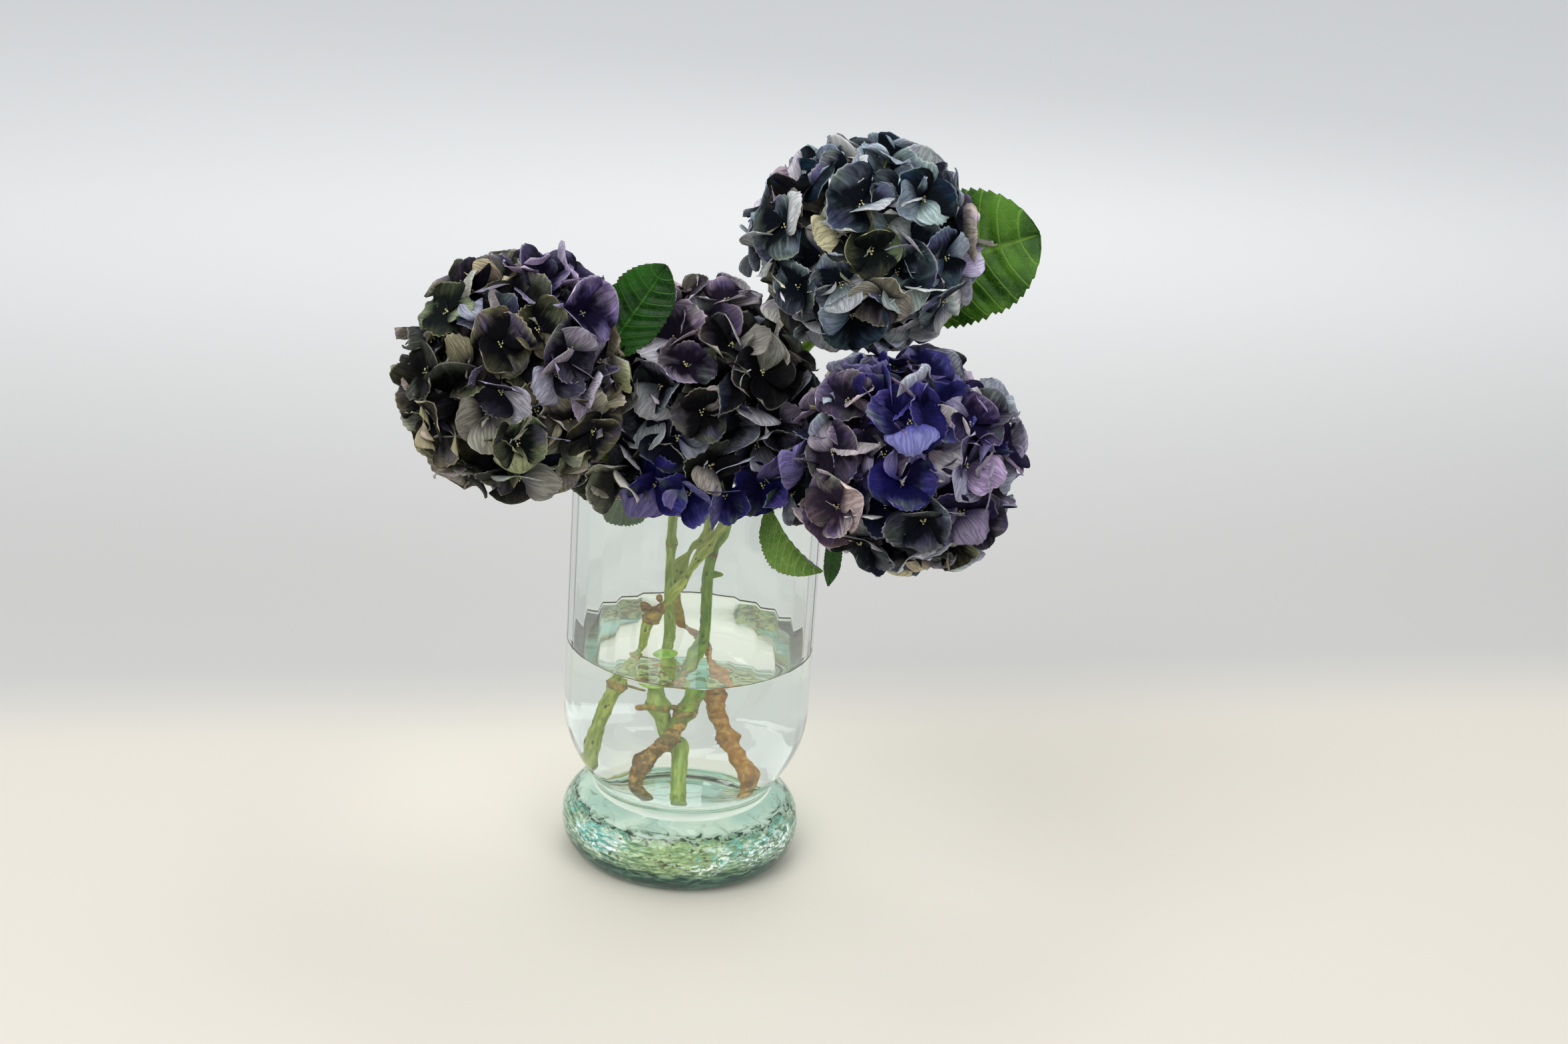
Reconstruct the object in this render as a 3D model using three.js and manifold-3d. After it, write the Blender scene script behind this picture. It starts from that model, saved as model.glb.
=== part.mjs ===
// Four cut mop-head hydrangeas in a footed glass vase, half filled with water.
// Millimetres, +Z up. The origin is the centre of the vase's underside, and the front faces -Y.
import * as THREE from 'three';
import { mergeVertices } from 'three/addons/utils/BufferGeometryUtils.js';
import Module from 'manifold-3d';

const wasm = await Module();
wasm.setup();

// ---------------------------------------------------------------- driving dimensions
const VASE = {
  bodyRadius: 85, rimHeight: 286, wall: 4.5,
  standRadius: 64, footRadius: 83, footMiddle: 24,
  neckRadius: 62.5, neckHeight: 52, bowlTop: 112,
  floorRadius: 34, floorHeight: 57,
  flutes: 32,
};
const WATER_LEVEL = 158;
const FIT_GAP = 0.35;

const FLORET = {
  perBloom: 34, span: 27, cup: -1, waviness: 2, thickness: 0.8, sepals: 4,
  sink: 4, layers: 3, layerStep: 5.5, tilt: 0.1, stalkRadius: 2.2, stalkRoot: 0.5,
};
const SEPAL_OUTLINE = [[-45, 0.7], [-20, 1], [20, 1]];   // degrees from the sepal's middle, share of the span
const CORE = { share: 0.6, columns: 8, rows: 5 };   // the hidden heart of a bloom, as a share of its size
const STEM_OPENING = 0.9;       // cosine of the cone left bare of florets round each stem
const RIM_ROOM = 0.7;           // room kept round the rim where a bloom lies over it
const INTERFACE_GAP = 0.2;      // half of the gap between two blooms that press together
const STEM_SIDES = 5;
const STEM_STEPS = 28;
const NODE_LENGTH = 5.5;        // how far a swollen node reaches along its stem
const WATER_HOLE = { radius: 7.5, steps: 11, sides: 6 };   // the plain holes that the stems stand in
const LEAF_THICKNESS = 0.9;

const v = (x, y, z) => new THREE.Vector3(x, y, z);

// Each bloom: its middle, its half widths, and the stem that carries it.
const BLOOMS = {
  left: { centre: v(-116, -110, 377), radii: v(73.5, 76, 78.5), seed: 11 },
  centre: { centre: v(-1, -40, 346), radii: v(77, 79, 82), seed: 23 },
  top: { centre: v(98, -30, 456), radii: v(79.5, 76, 71), seed: 37 },
  right: { centre: v(133, -100, 337), radii: v(78, 75, 73), seed: 41 },
};

// Each stem: the way it runs from the vase floor up into its bloom, its thickness,
// its swollen nodes and the stubs left by side shoots and buds.
const STEMS = {
  right: {
    radius: 2.9,
    route: [
      v(-41.5, 20, 61), v(-42, 16, 74), v(-43, 9, 89), v(-41, 0, 109), v(-36, -7, 132), v(-31, -14, 158),
      v(-29, -16, 173), v(-25, -18, 183), v(-17, -20, 192), v(-10, -23, 205), v(-2, -27, 220),
      v(8, -32, 240), v(17, -36, 255), v(36, -50, 279), v(54, -63, 297), v(75, -73, 306), v(101, -84, 318),
    ],
    nodes: [[v(-25, -18, 183), 4.6], [v(-36, -7, 132), 5.4], [v(8, -32, 240), 4]],
    stubs: [
      { from: v(-25, -18, 184), to: v(-30, -22, 190), radius: 1.6, bud: 4 },
      { from: v(-20, -19, 190), to: v(-22, -22, 197), radius: 1.2, bud: 2.7 },
    ],
  },
  left: {
    radius: 3.2,
    route: [
      v(0, -42, 60.5), v(-1, -30, 77), v(-2, -17, 92), v(-8, -10, 100), v(-14, -5, 119), v(-15.5, -1, 132),
      v(-14, 6, 158), v(-16, 3, 189), v(-16, 0, 206), v(-16, -4, 230), v(-17, -10, 257),
      v(-24, -26, 280), v(-40, -52, 299), v(-60, -76, 317), v(-92, -97, 350),
    ],
    nodes: [[v(-16, -4, 230), 4.2], [v(-14, -5, 119), 5.2], [v(-1, -14, 94), 4.4]],
    stubs: [],
  },
  top: {
    radius: 3.7,
    route: [
      v(-18, -31, 60.5), v(-25, -33, 72), v(-22, -32, 84), v(-8, -26, 101), v(-1, -10, 115), v(4, 6, 127),
      v(8, 16, 143), v(9, 25, 158), v(9, 23, 170), v(9, 21, 202), v(12, 20, 215), v(18, 20, 229),
      v(28, 30, 260), v(41, 42, 300), v(55, 42, 345), v(74, 25, 378), v(93, -12, 426),
    ],
    nodes: [[v(12, 20, 215), 5], [v(0, -8, 117), 5.4], [v(-22, -32, 84), 5], [v(26, 28, 254), 5]],
    stubs: [{ from: v(9.5, 21, 199), to: v(21, 22, 199), radius: 2.4, bud: 2.7 }],
  },
  centre: {
    radius: 2.8,
    route: [
      v(32, -6, 58.3), v(34, -3, 72), v(27, 4, 80), v(20, 12, 91), v(15, 18, 104), v(11, 22, 120), v(6, 29, 135),
      v(-2, 29, 148), v(-9, 23, 160), v(-13, 22, 180), v(-11, 22, 203), v(-3, 22, 217), v(4, 20, 223),
      v(9, 15, 241), v(8, 4, 262), v(3, -14, 284), v(0, -30, 303),
    ],
    nodes: [[v(-11, 22, 203), 4.2], [v(20, 12, 91), 4.6], [v(34, -4, 74), 5.2], [v(11, 22, 120), 4.2]],
    stubs: [],
  },
};

// Each leaf: its petiole's root on a stem, its base and tip, the way its face looks,
// half its width, how far its halves fold up, and how far its middle bows out.
const LEAVES = {
  top: {
    root: v(70.1, 32.8, 374), base: v(108, 44, 402), tip: v(214, 31, 454), face: v(-0.15, -0.9, 0.4),
    halfWidth: 45, fold: 0.16, bow: 7, rows: 20, columns: 2,
  },
  left: {
    root: v(-53, -63, 313), base: v(-64, -86, 384), tip: v(-26, -71, 445), face: v(-0.1, -0.95, 0.2),
    halfWidth: 25, fold: 0.25, bow: -5, rows: 14, columns: 2,
  },
  under: {
    root: v(-21.6, -11.1, 262), base: v(-24, -15, 267), tip: v(-66, -24, 263), face: v(0, -0.75, 0.6),
    halfWidth: 20, fold: 0.2, bow: 4, rows: 12, columns: 2,
  },
  right: {
    root: v(53.2, -65.9, 295.3), base: v(47.5, -75.5, 291), tip: v(86, -79, 248), face: v(-0.5, -0.75, -0.2),
    halfWidth: 15, fold: 0.75, bow: 5, rows: 12, columns: 2,
  },
  small: {
    root: v(86, -79.6, 307.9), base: v(92, -82, 291), tip: v(91, -74, 236), face: v(0.2, -0.9, 0.1),
    halfWidth: 6, fold: 0.3, bow: 3, rows: 8, columns: 2,
  },
};

const COLOURS = {
  glass: 0xbfe0d8, water: 0xd8ecea, stem: 0x7d9a4e, leaf: 0x3f7a2a,
  left: 0x4a4c42, centre: 0x2b3340, top: 0x3a4a5c, right: 0x4a4284,
};

// ---------------------------------------------------------------- solids
function toSolid(geometry) {
  const bare = geometry.clone();
  for (const name of Object.keys(bare.attributes)) {
    if (name !== 'position') bare.deleteAttribute(name);
  }
  const merged = mergeVertices(bare, 1e-4);
  const mesh = new wasm.Mesh({
    numProp: 3,
    vertProperties: new Float32Array(merged.attributes.position.array),
    triVerts: new Uint32Array(merged.index.array),
  });
  return new wasm.Manifold(mesh);
}

function toGeometry(solid) {
  const mesh = solid.getMesh();
  const geometry = new THREE.BufferGeometry();
  geometry.setAttribute('position', new THREE.BufferAttribute(new Float32Array(mesh.vertProperties), 3));
  geometry.setIndex(new THREE.BufferAttribute(new Uint32Array(mesh.triVerts), 1));
  geometry.computeVertexNormals();
  return geometry;
}

function joinAll(solids) {
  return solids.reduce((whole, solid) => whole.add(solid));
}

function largestPiece(solid) {
  return solid.decompose().reduce((best, piece) => (piece.volume() > best.volume() ? piece : best));
}

function seededRandom(seed) {
  let state = seed * 7919 + 17;
  return () => {
    state = (state * 16807) % 2147483647;
    return state / 2147483647;
  };
}

function indexedSolid(points, index) {
  const geometry = new THREE.BufferGeometry().setFromPoints(points);
  geometry.setIndex(index);
  return toSolid(geometry);
}

// A closed blade from the points and triangles of its face and the loop round its edge.
function bladeSolid(face, triangles, edge, normal, thickness) {
  const count = face.length;
  const back = face.map((point) => point.clone().addScaledVector(normal, -thickness));
  const index = [];
  for (const [a, b, c] of triangles) index.push(a, b, c, count + c, count + b, count + a);
  edge.forEach((a, i) => {
    const b = edge[(i + 1) % edge.length];
    index.push(b, a, count + a, b, count + a, count + b);
  });
  return indexedSolid([...face, ...back], index);
}

function tubeGeometry(route, radius, steps, sides) {
  const section = new THREE.Shape();
  for (let i = 0; i < sides; i += 1) {
    const angle = (2 * Math.PI * i) / sides;
    const [x, y] = [radius * Math.cos(angle), radius * Math.sin(angle)];
    if (i === 0) section.moveTo(x, y);
    else section.lineTo(x, y);
  }
  const extrudePath = new THREE.CatmullRomCurve3(route, false, 'centripetal');
  return new THREE.ExtrudeGeometry(section, { steps, extrudePath, bevelEnabled: false });
}

// Swells a tube's rings towards the size of each node that they pass.
function swellNodes(geometry, route, radius, nodes) {
  const path = new THREE.CatmullRomCurve3(route, false, 'centripetal');
  const middles = path.getSpacedPoints(STEM_STEPS);
  const places = geometry.attributes.position;
  for (let i = 0; i < places.count; i += 1) {
    const point = new THREE.Vector3().fromBufferAttribute(places, i);
    const near = middles.reduce((a, b) => (point.distanceTo(b) < point.distanceTo(a) ? b : a));
    const swell = nodes.map(([place, size]) => {
      const share = near.distanceTo(place) / NODE_LENGTH;
      return (size - radius) * Math.exp(-share * share);
    });
    const growth = 1 + Math.max(0, ...swell) / radius;
    point.sub(near).multiplyScalar(growth).add(near);
    places.setXYZ(i, point.x, point.y, point.z);
  }
}

function budSolid(centre, radius) {
  const ball = new THREE.SphereGeometry(radius, 5, 3);
  ball.translate(centre.x, centre.y, centre.z);
  return toSolid(ball);
}

// ---------------------------------------------------------------- vase and water
function latheSolid(outline) {
  const lathe = new THREE.LatheGeometry(outline, VASE.flutes);
  lathe.rotateX(Math.PI / 2);
  return toSolid(lathe);
}

function bowlInside(inset) {
  const { bodyRadius, wall, bowlTop, floorRadius, floorHeight } = VASE;
  const radius = bodyRadius - wall - inset;
  const path = new THREE.Path();
  path.moveTo(0, floorHeight + inset);
  path.lineTo(floorRadius, floorHeight + inset);
  path.bezierCurveTo(62 - inset, floorHeight + inset, radius - 1, 82, radius, bowlTop);
  return { path, radius };
}

function vaseSolid() {
  const { bodyRadius, wall, rimHeight, standRadius, footRadius, footMiddle } = VASE;
  const { neckRadius, neckHeight, bowlTop } = VASE;
  const outside = new THREE.Path();
  outside.moveTo(0, 0);
  outside.lineTo(standRadius, 0);
  outside.bezierCurveTo(75, 0, footRadius, 9, footRadius, footMiddle);
  outside.bezierCurveTo(footRadius, 39, 70, 44, neckRadius, neckHeight);
  outside.bezierCurveTo(neckRadius + 1, 62, bodyRadius - 1, 76, bodyRadius, bowlTop);
  outside.lineTo(bodyRadius, rimHeight - 3);
  outside.bezierCurveTo(bodyRadius, rimHeight + 1, bodyRadius - wall, rimHeight + 1, bodyRadius - wall, rimHeight - 3);
  const inside = bowlInside(0).path.getPoints(4).reverse();
  return latheSolid([...outside.getPoints(4), ...inside]);
}

function waterSolid() {
  const { path, radius } = bowlInside(FIT_GAP);
  path.lineTo(radius, WATER_LEVEL);
  path.lineTo(0, WATER_LEVEL);
  const body = latheSolid(path.getPoints(4));
  return Object.values(STEMS).reduce((water, stem) => water.subtract(waterHole(stem)), body);
}

// Room for the top of the vase's wall, cut out of the blooms that lie over it.
function rimJacket() {
  const outer = VASE.bodyRadius + RIM_ROOM;
  const inner = VASE.bodyRadius - VASE.wall - RIM_ROOM;
  const [bottom, top] = [VASE.rimHeight - 46, VASE.rimHeight + RIM_ROOM];
  const ring = [[inner, bottom], [outer, bottom], [outer, top], [inner, top], [inner, bottom]];
  return latheSolid(ring.map(([x, y]) => new THREE.Vector2(x, y)));
}

// ---------------------------------------------------------------- stems and leaves
function stemSolid({ route, radius, nodes, stubs }, grow = 0) {
  const tube = tubeGeometry(route, radius + grow, STEM_STEPS, STEM_SIDES);
  swellNodes(tube, route, radius, nodes);
  const pieces = [toSolid(tube)];
  for (const stub of stubs) {
    pieces.push(toSolid(tubeGeometry([stub.from, stub.to], stub.radius + grow, 1, STEM_SIDES)));
    pieces.push(budSolid(stub.to, stub.bud + grow));
  }
  return joinAll(pieces);
}

// The plain hole that a stem stands in, from under the water to above it.
function waterHole({ route }) {
  const wet = route.slice(0, route.findIndex((point) => point.z > WATER_LEVEL + 5) + 1);
  const foot = wet[0].clone().sub(wet[1]).setLength(6).add(wet[0]);
  return toSolid(tubeGeometry([foot, ...wet], WATER_HOLE.radius, WATER_HOLE.steps, WATER_HOLE.sides));
}

// Room for a stem, a little wider and longer than the stem itself.
function stemJacket(stem) {
  const last = stem.route.length - 1;
  const end = stem.route[last].clone().sub(stem.route[last - 1]).setLength(1).add(stem.route[last]);
  return stemSolid({ ...stem, route: [...stem.route.slice(0, last), end] }, FIT_GAP);
}

function leafSolid({ root, base, tip, face, halfWidth, fold, bow, rows, columns }, grow = 0) {
  const along = tip.clone().sub(base);
  const length = along.length();
  along.normalize();
  const across = face.clone().cross(along).normalize();
  const normal = along.clone().cross(across).normalize();
  const points = [];
  for (let row = 0; row <= rows; row += 1) {
    const t = row / rows;
    const outline = Math.sin(Math.PI * Math.pow(t, 0.8) * 0.985 + 0.03);
    const tooth = row % 2 === 0 ? 1 : 0.9;
    const width = (halfWidth + grow) * Math.max(outline, 0.03) * tooth;
    for (let column = 0; column <= columns; column += 1) {
      const side = (2 * column) / columns - 1;
      const lift = Math.abs(side) * width * Math.tan(fold) + bow * Math.sin(Math.PI * t);
      const slip = row % 2 === 0 ? Math.abs(side) * length * 0.012 : 0;
      points.push(base.clone()
        .addScaledVector(along, length * t - slip)
        .addScaledVector(across, side * width)
        .addScaledVector(normal, lift + grow));
    }
  }
  const at = (row, column) => row * (columns + 1) + column;
  const triangles = [];
  for (let row = 0; row < rows; row += 1) {
    for (let column = 0; column < columns; column += 1) {
      const [a, b] = [at(row, column), at(row, column + 1)];
      const [c, d] = [at(row + 1, column + 1), at(row + 1, column)];
      triangles.push([a, c, b], [a, d, c]);
    }
  }
  const edge = [];
  for (let column = 0; column <= columns; column += 1) edge.push(at(0, column));
  for (let row = 1; row <= rows; row += 1) edge.push(at(row, columns));
  for (let column = columns - 1; column >= 0; column -= 1) edge.push(at(rows, column));
  for (let row = rows - 1; row > 0; row -= 1) edge.push(at(row, 0));
  edge.reverse();
  const blade = bladeSolid(points, triangles, edge, normal, LEAF_THICKNESS + 2 * grow);
  const inBlade = base.clone().addScaledVector(along, length * 0.12).addScaledVector(normal, bow * 0.35 - 0.6);
  const atBase = base.clone().addScaledVector(normal, -0.6);
  return blade.add(toSolid(tubeGeometry([root, atBase, inBlade], 1.4 + grow, 3, 3)));
}

// ---------------------------------------------------------------- blooms
function ellipsoidReach(radii, direction) {
  return 1 / Math.hypot(direction.x / radii.x, direction.y / radii.y, direction.z / radii.z);
}

// The flat faces where two blooms press together: each bloom keeps to its own side.
function pressedFaces(name) {
  const bloom = BLOOMS[name];
  const faces = [];
  for (const [other, { centre, radii }] of Object.entries(BLOOMS)) {
    if (other === name) continue;
    const way = centre.clone().sub(bloom.centre);
    const distance = way.length();
    way.normalize();
    const overlap = ellipsoidReach(bloom.radii, way) + ellipsoidReach(radii, way) - distance;
    if (overlap < -25) continue;
    faces.push({ way, depth: ellipsoidReach(bloom.radii, way) - overlap / 2 - INTERFACE_GAP });
  }
  return faces;
}

function bloomReach(bloom, faces, direction) {
  let reach = ellipsoidReach(bloom.radii, direction);
  for (const { way, depth } of faces) {
    const cosine = direction.dot(way);
    if (cosine > 0.2) reach = Math.min(reach, (depth + 3) / cosine);
  }
  return reach;
}

// One floret: four broad sepals in one thin blade, and a tapering stalk rooted in the core.
function floretSolid(core, place, facing, spin, size, random) {
  const perSepal = SEPAL_OUTLINE.length;
  const around = perSepal * FLORET.sepals;
  const local = [v(0, 0, 0)];
  for (let i = 0; i < around; i += 1) {
    const sepal = Math.floor(i / perSepal);
    const [angle, reach] = SEPAL_OUTLINE[i % perSepal];
    const turn = THREE.MathUtils.degToRad(angle + (360 / FLORET.sepals) * sepal) + spin;
    const radius = size * reach;
    const layer = sepal % 2 === 0 ? 1 : -1;
    const wave = reach > 0.9 ? layer * 1.2 + (random() - 0.5) * FLORET.waviness : 0;
    local.push(v(radius * Math.cos(turn), radius * Math.sin(turn), FLORET.cup * reach * reach + wave));
  }
  const backs = local.slice(1).map((point) => point.clone().setZ(point.z - FLORET.thickness));
  const collar = [];
  for (let sepal = 0; sepal < FLORET.sepals; sepal += 1) {
    const notch = local[1 + sepal * perSepal].clone().setZ(0).setLength(FLORET.stalkRadius);
    collar.push(notch.setZ(-FLORET.thickness - 0.6));
  }
  const stand = new THREE.Quaternion().setFromUnitVectors(v(0, 0, 1), facing);
  const points = [...local, ...backs, ...collar].map((point) => point.applyQuaternion(stand).add(place));
  points.push(core.clone().lerp(place, FLORET.stalkRoot));

  const face = (i) => 1 + (i % around);
  const back = (i) => 1 + around + (i % around);
  const ring = (sepal) => 1 + 2 * around + (sepal % FLORET.sepals);
  const root = points.length - 1;
  const index = [];
  for (let i = 0; i < around; i += 1) {
    index.push(0, face(i), face(i + 1));
    index.push(face(i + 1), face(i), back(i), face(i + 1), back(i), back(i + 1));
    index.push(back(i + 1), back(i), ring(Math.floor(i / perSepal)));
  }
  for (let sepal = 0; sepal < FLORET.sepals; sepal += 1) {
    index.push(ring(sepal + 1), back((sepal + 1) * perSepal), ring(sepal));
    index.push(ring(sepal + 1), ring(sepal), root);
  }
  return indexedSolid(points, index);
}

function bloomSolid(name, stemWay) {
  const bloom = BLOOMS[name];
  const random = seededRandom(bloom.seed);
  const faces = pressedFaces(name);
  const core = new THREE.SphereGeometry(1, CORE.columns, CORE.rows);
  core.scale(...bloom.radii.toArray().map((radius) => radius * CORE.share));
  core.translate(...bloom.centre.toArray());
  const pieces = [toSolid(core)];
  const golden = Math.PI * (3 - Math.sqrt(5));
  for (let i = 0; i < FLORET.perBloom; i += 1) {
    const height = 1 - (2 * i + 1) / FLORET.perBloom;
    const ring = Math.sqrt(1 - height * height);
    const direction = v(ring * Math.cos(i * golden), ring * Math.sin(i * golden), height);
    const lean = v(random() - 0.5, random() - 0.5, random() - 0.5).multiplyScalar(2 * FLORET.tilt);
    const spin = random() * Math.PI;
    const size = FLORET.span * (0.94 + 0.12 * random());
    if (direction.dot(stemWay) > STEM_OPENING) continue;
    const depth = FLORET.sink + (i % FLORET.layers) * FLORET.layerStep;
    const reach = bloomReach(bloom, faces, direction) - depth;
    const place = bloom.centre.clone().addScaledVector(direction, reach);
    const facing = direction.clone().add(lean).normalize();
    pieces.push(floretSolid(bloom.centre, place, facing, spin, size, random));
  }
  let solid = joinAll(pieces);
  for (const { way, depth } of faces) {
    solid = solid.trimByPlane(way.clone().negate().toArray(), -depth - way.dot(bloom.centre));
  }
  return solid;
}

// ---------------------------------------------------------------- assembly
const group = new THREE.Group();

function addPart(name, solid, colour, roughness = 0.6, opacity = 1) {
  const material = new THREE.MeshStandardMaterial({
    color: colour, roughness, metalness: 0, transparent: opacity < 1, opacity,
  });
  const mesh = new THREE.Mesh(toGeometry(solid), material);
  mesh.name = name;
  group.add(mesh);
}

const stemJackets = Object.values(STEMS).map(stemJacket);
const leafJackets = Object.values(LEAVES).map((leaf) => leafSolid(leaf, 2 * FIT_GAP));
const rim = rimJacket();

addPart('vase', vaseSolid(), COLOURS.glass, 0.05, 0.35);
addPart('water', waterSolid(), COLOURS.water, 0.05, 0.35);
for (const [name, stem] of Object.entries(STEMS)) {
  addPart(`stem_${name}`, stemSolid(stem), COLOURS.stem);
}
for (const [name, leaf] of Object.entries(LEAVES)) {
  addPart(`leaf_${name}`, leafSolid(leaf), COLOURS.leaf);
}
for (const [name, bloom] of Object.entries(BLOOMS)) {
  const { route } = STEMS[name];
  const stemWay = route[route.length - 2].clone().sub(bloom.centre).normalize();
  let solid = bloomSolid(name, stemWay);
  for (const jacket of [...stemJackets, ...leafJackets, rim]) solid = solid.subtract(jacket);
  addPart(`bloom_${name}`, largestPiece(solid), COLOURS[name]);
}

export default group;
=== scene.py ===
"""Four cut mop-head hydrangeas in a footed glass vase of water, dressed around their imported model.

Every piece is in metres in the model's own frame: +Z up, -Y to the front, the origin under the vase's middle.
"""
import logging
import math
import random
from dataclasses import dataclass, field
from enum import Enum
from typing import Callable, Iterable

import bmesh
import bpy
from bmesh.types import BMFace, BMVert
from bpy.types import Material, Node, NodeSocket, NodeTree, Object
from mathutils import Matrix, Quaternion, Vector, noise


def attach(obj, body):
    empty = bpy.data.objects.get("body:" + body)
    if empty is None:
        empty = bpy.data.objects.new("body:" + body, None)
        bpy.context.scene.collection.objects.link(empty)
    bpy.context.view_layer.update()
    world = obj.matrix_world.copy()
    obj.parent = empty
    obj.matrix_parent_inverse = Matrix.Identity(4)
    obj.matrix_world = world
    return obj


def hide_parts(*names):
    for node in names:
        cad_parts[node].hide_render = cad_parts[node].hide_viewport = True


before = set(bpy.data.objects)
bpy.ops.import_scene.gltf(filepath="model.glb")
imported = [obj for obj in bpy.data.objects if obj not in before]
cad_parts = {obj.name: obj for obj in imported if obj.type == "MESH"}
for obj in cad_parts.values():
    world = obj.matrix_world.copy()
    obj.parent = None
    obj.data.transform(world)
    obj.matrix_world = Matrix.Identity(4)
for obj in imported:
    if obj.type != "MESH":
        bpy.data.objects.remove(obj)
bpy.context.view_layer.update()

log = logging.getLogger("hydrangeas")

MM = 0.001
FULL_TURN = 2 * math.pi
GOLDEN_ANGLE = math.pi * (3 - math.sqrt(5))
UP = Vector((0, 0, 1))
SEAM_WIDTH = 1e-7
PATTERN = "Pattern"
Spot = tuple[float, float, float]


# ---------------------------------------------------------------- numbers and places
def mm(x: float, y: float, z: float) -> Vector:
    """A point given in millimetres, in metres."""
    return Vector((x, y, z)) * MM


def mix(low: float, high: float, share: float) -> float:
    """The number that lies at a share of the way from low to high."""
    return low + (high - low) * share


def ease(low: float, high: float, value: float) -> float:
    """A smooth step from 0 at low to 1 at high."""
    share = min(1.0, max(0.0, (value - low) / (high - low)))
    return share * share * (3 - 2 * share)


def hill(value: float, middle: float, width: float) -> float:
    """A smooth hill of height 1 round a middle."""
    return math.exp(-((value - middle) / width) ** 2)


def colour(code: str) -> tuple[float, float, float, float]:
    """A colour code such as #8fa0b4 as the linear colour that Blender uses."""
    parts = (int(code[i:i + 2], 16) / 255 for i in (1, 3, 5))
    linear = (part / 12.92 if part <= 0.04045 else ((part + 0.055) / 1.055) ** 2.4 for part in parts)
    return (*linear, 1.0)


def bezier(start: Vector, first: Vector, second: Vector, end: Vector, steps: int) -> list[Vector]:
    """Points along a cubic curve, without its start."""
    points = []
    for step in range(1, steps + 1):
        t = step / steps
        s = 1 - t
        points.append(start * s**3 + first * (3 * s * s * t) + second * (3 * s * t * t) + end * t**3)
    return points


def profile(radius: float, height: float) -> Vector:
    """A point of the outline from which a round body is turned."""
    return Vector((radius, 0, height))


def polar(angle: float) -> Vector:
    """The direction at an angle in the XY plane."""
    return Vector((math.cos(angle), math.sin(angle), 0))


@dataclass
class Path:
    """A smooth centripetal Catmull-Rom path through given points.

    Args:
        points: the places it runs through, in metres.
        fineness: how many steps measure the length of each of its stretches.
    """

    points: list[Vector]
    fineness: int = 24

    def at(self, piece: int, share: float) -> Vector:
        """A place on the stretch that starts at one of the points.

        Args:
            piece: the number of the point.
            share: how far along the stretch, from 0 to 1.
        Returns:
            The place, in metres.
        """
        points = self.points
        p1, p2 = points[piece], points[piece + 1]
        p0 = points[piece - 1] if piece > 0 else p1 * 2 - p2
        p3 = points[piece + 2] if piece + 2 < len(points) else p2 * 2 - p1
        d0, d1, d2 = (math.sqrt((b - a).length) for a, b in ((p0, p1), (p1, p2), (p2, p3)))
        start = ((p1 - p0) / d0 - (p2 - p0) / (d0 + d1) + (p2 - p1) / d1) * d1
        end = ((p2 - p1) / d1 - (p3 - p1) / (d1 + d2) + (p3 - p2) / d2) * d1
        s, s2, s3 = share, share * share, share**3
        near = p1 * (2 * s3 - 3 * s2 + 1) + start * (s3 - 2 * s2 + s)
        return near + p2 * (3 * s2 - 2 * s3) + end * (s3 - s2)

    def places(self, count: int) -> list[Vector]:
        """Places spaced evenly along the path, its two ends included."""
        stretches = range(len(self.points) - 1)
        fine = [self.at(i, step / self.fineness) for i in stretches for step in range(self.fineness)]
        fine.append(self.points[-1])
        lengths = [0.0]
        for a, b in zip(fine, fine[1:]):
            lengths.append(lengths[-1] + (b - a).length)
        found, i = [], 0
        for step in range(count):
            wanted = lengths[-1] * step / (count - 1)
            while i < len(fine) - 2 and lengths[i + 1] < wanted:
                i += 1
            share = (wanted - lengths[i]) / max(lengths[i + 1] - lengths[i], 1e-9)
            found.append(fine[i].lerp(fine[i + 1], min(1.0, share)))
        return found

    def frames(self, count: int) -> list[tuple[Vector, Vector, Vector]]:
        """Evenly spaced places, each with two directions square to the path that don't twist."""
        places = self.places(count)
        side = (places[1] - places[0]).orthogonal().normalized()
        found = []
        for i, place in enumerate(places):
            way = (places[min(i + 1, count - 1)] - places[max(i - 1, 0)]).normalized()
            side = (side - way * side.dot(way)).normalized()
            found.append((place, side, way.cross(side)))
        return found


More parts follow.
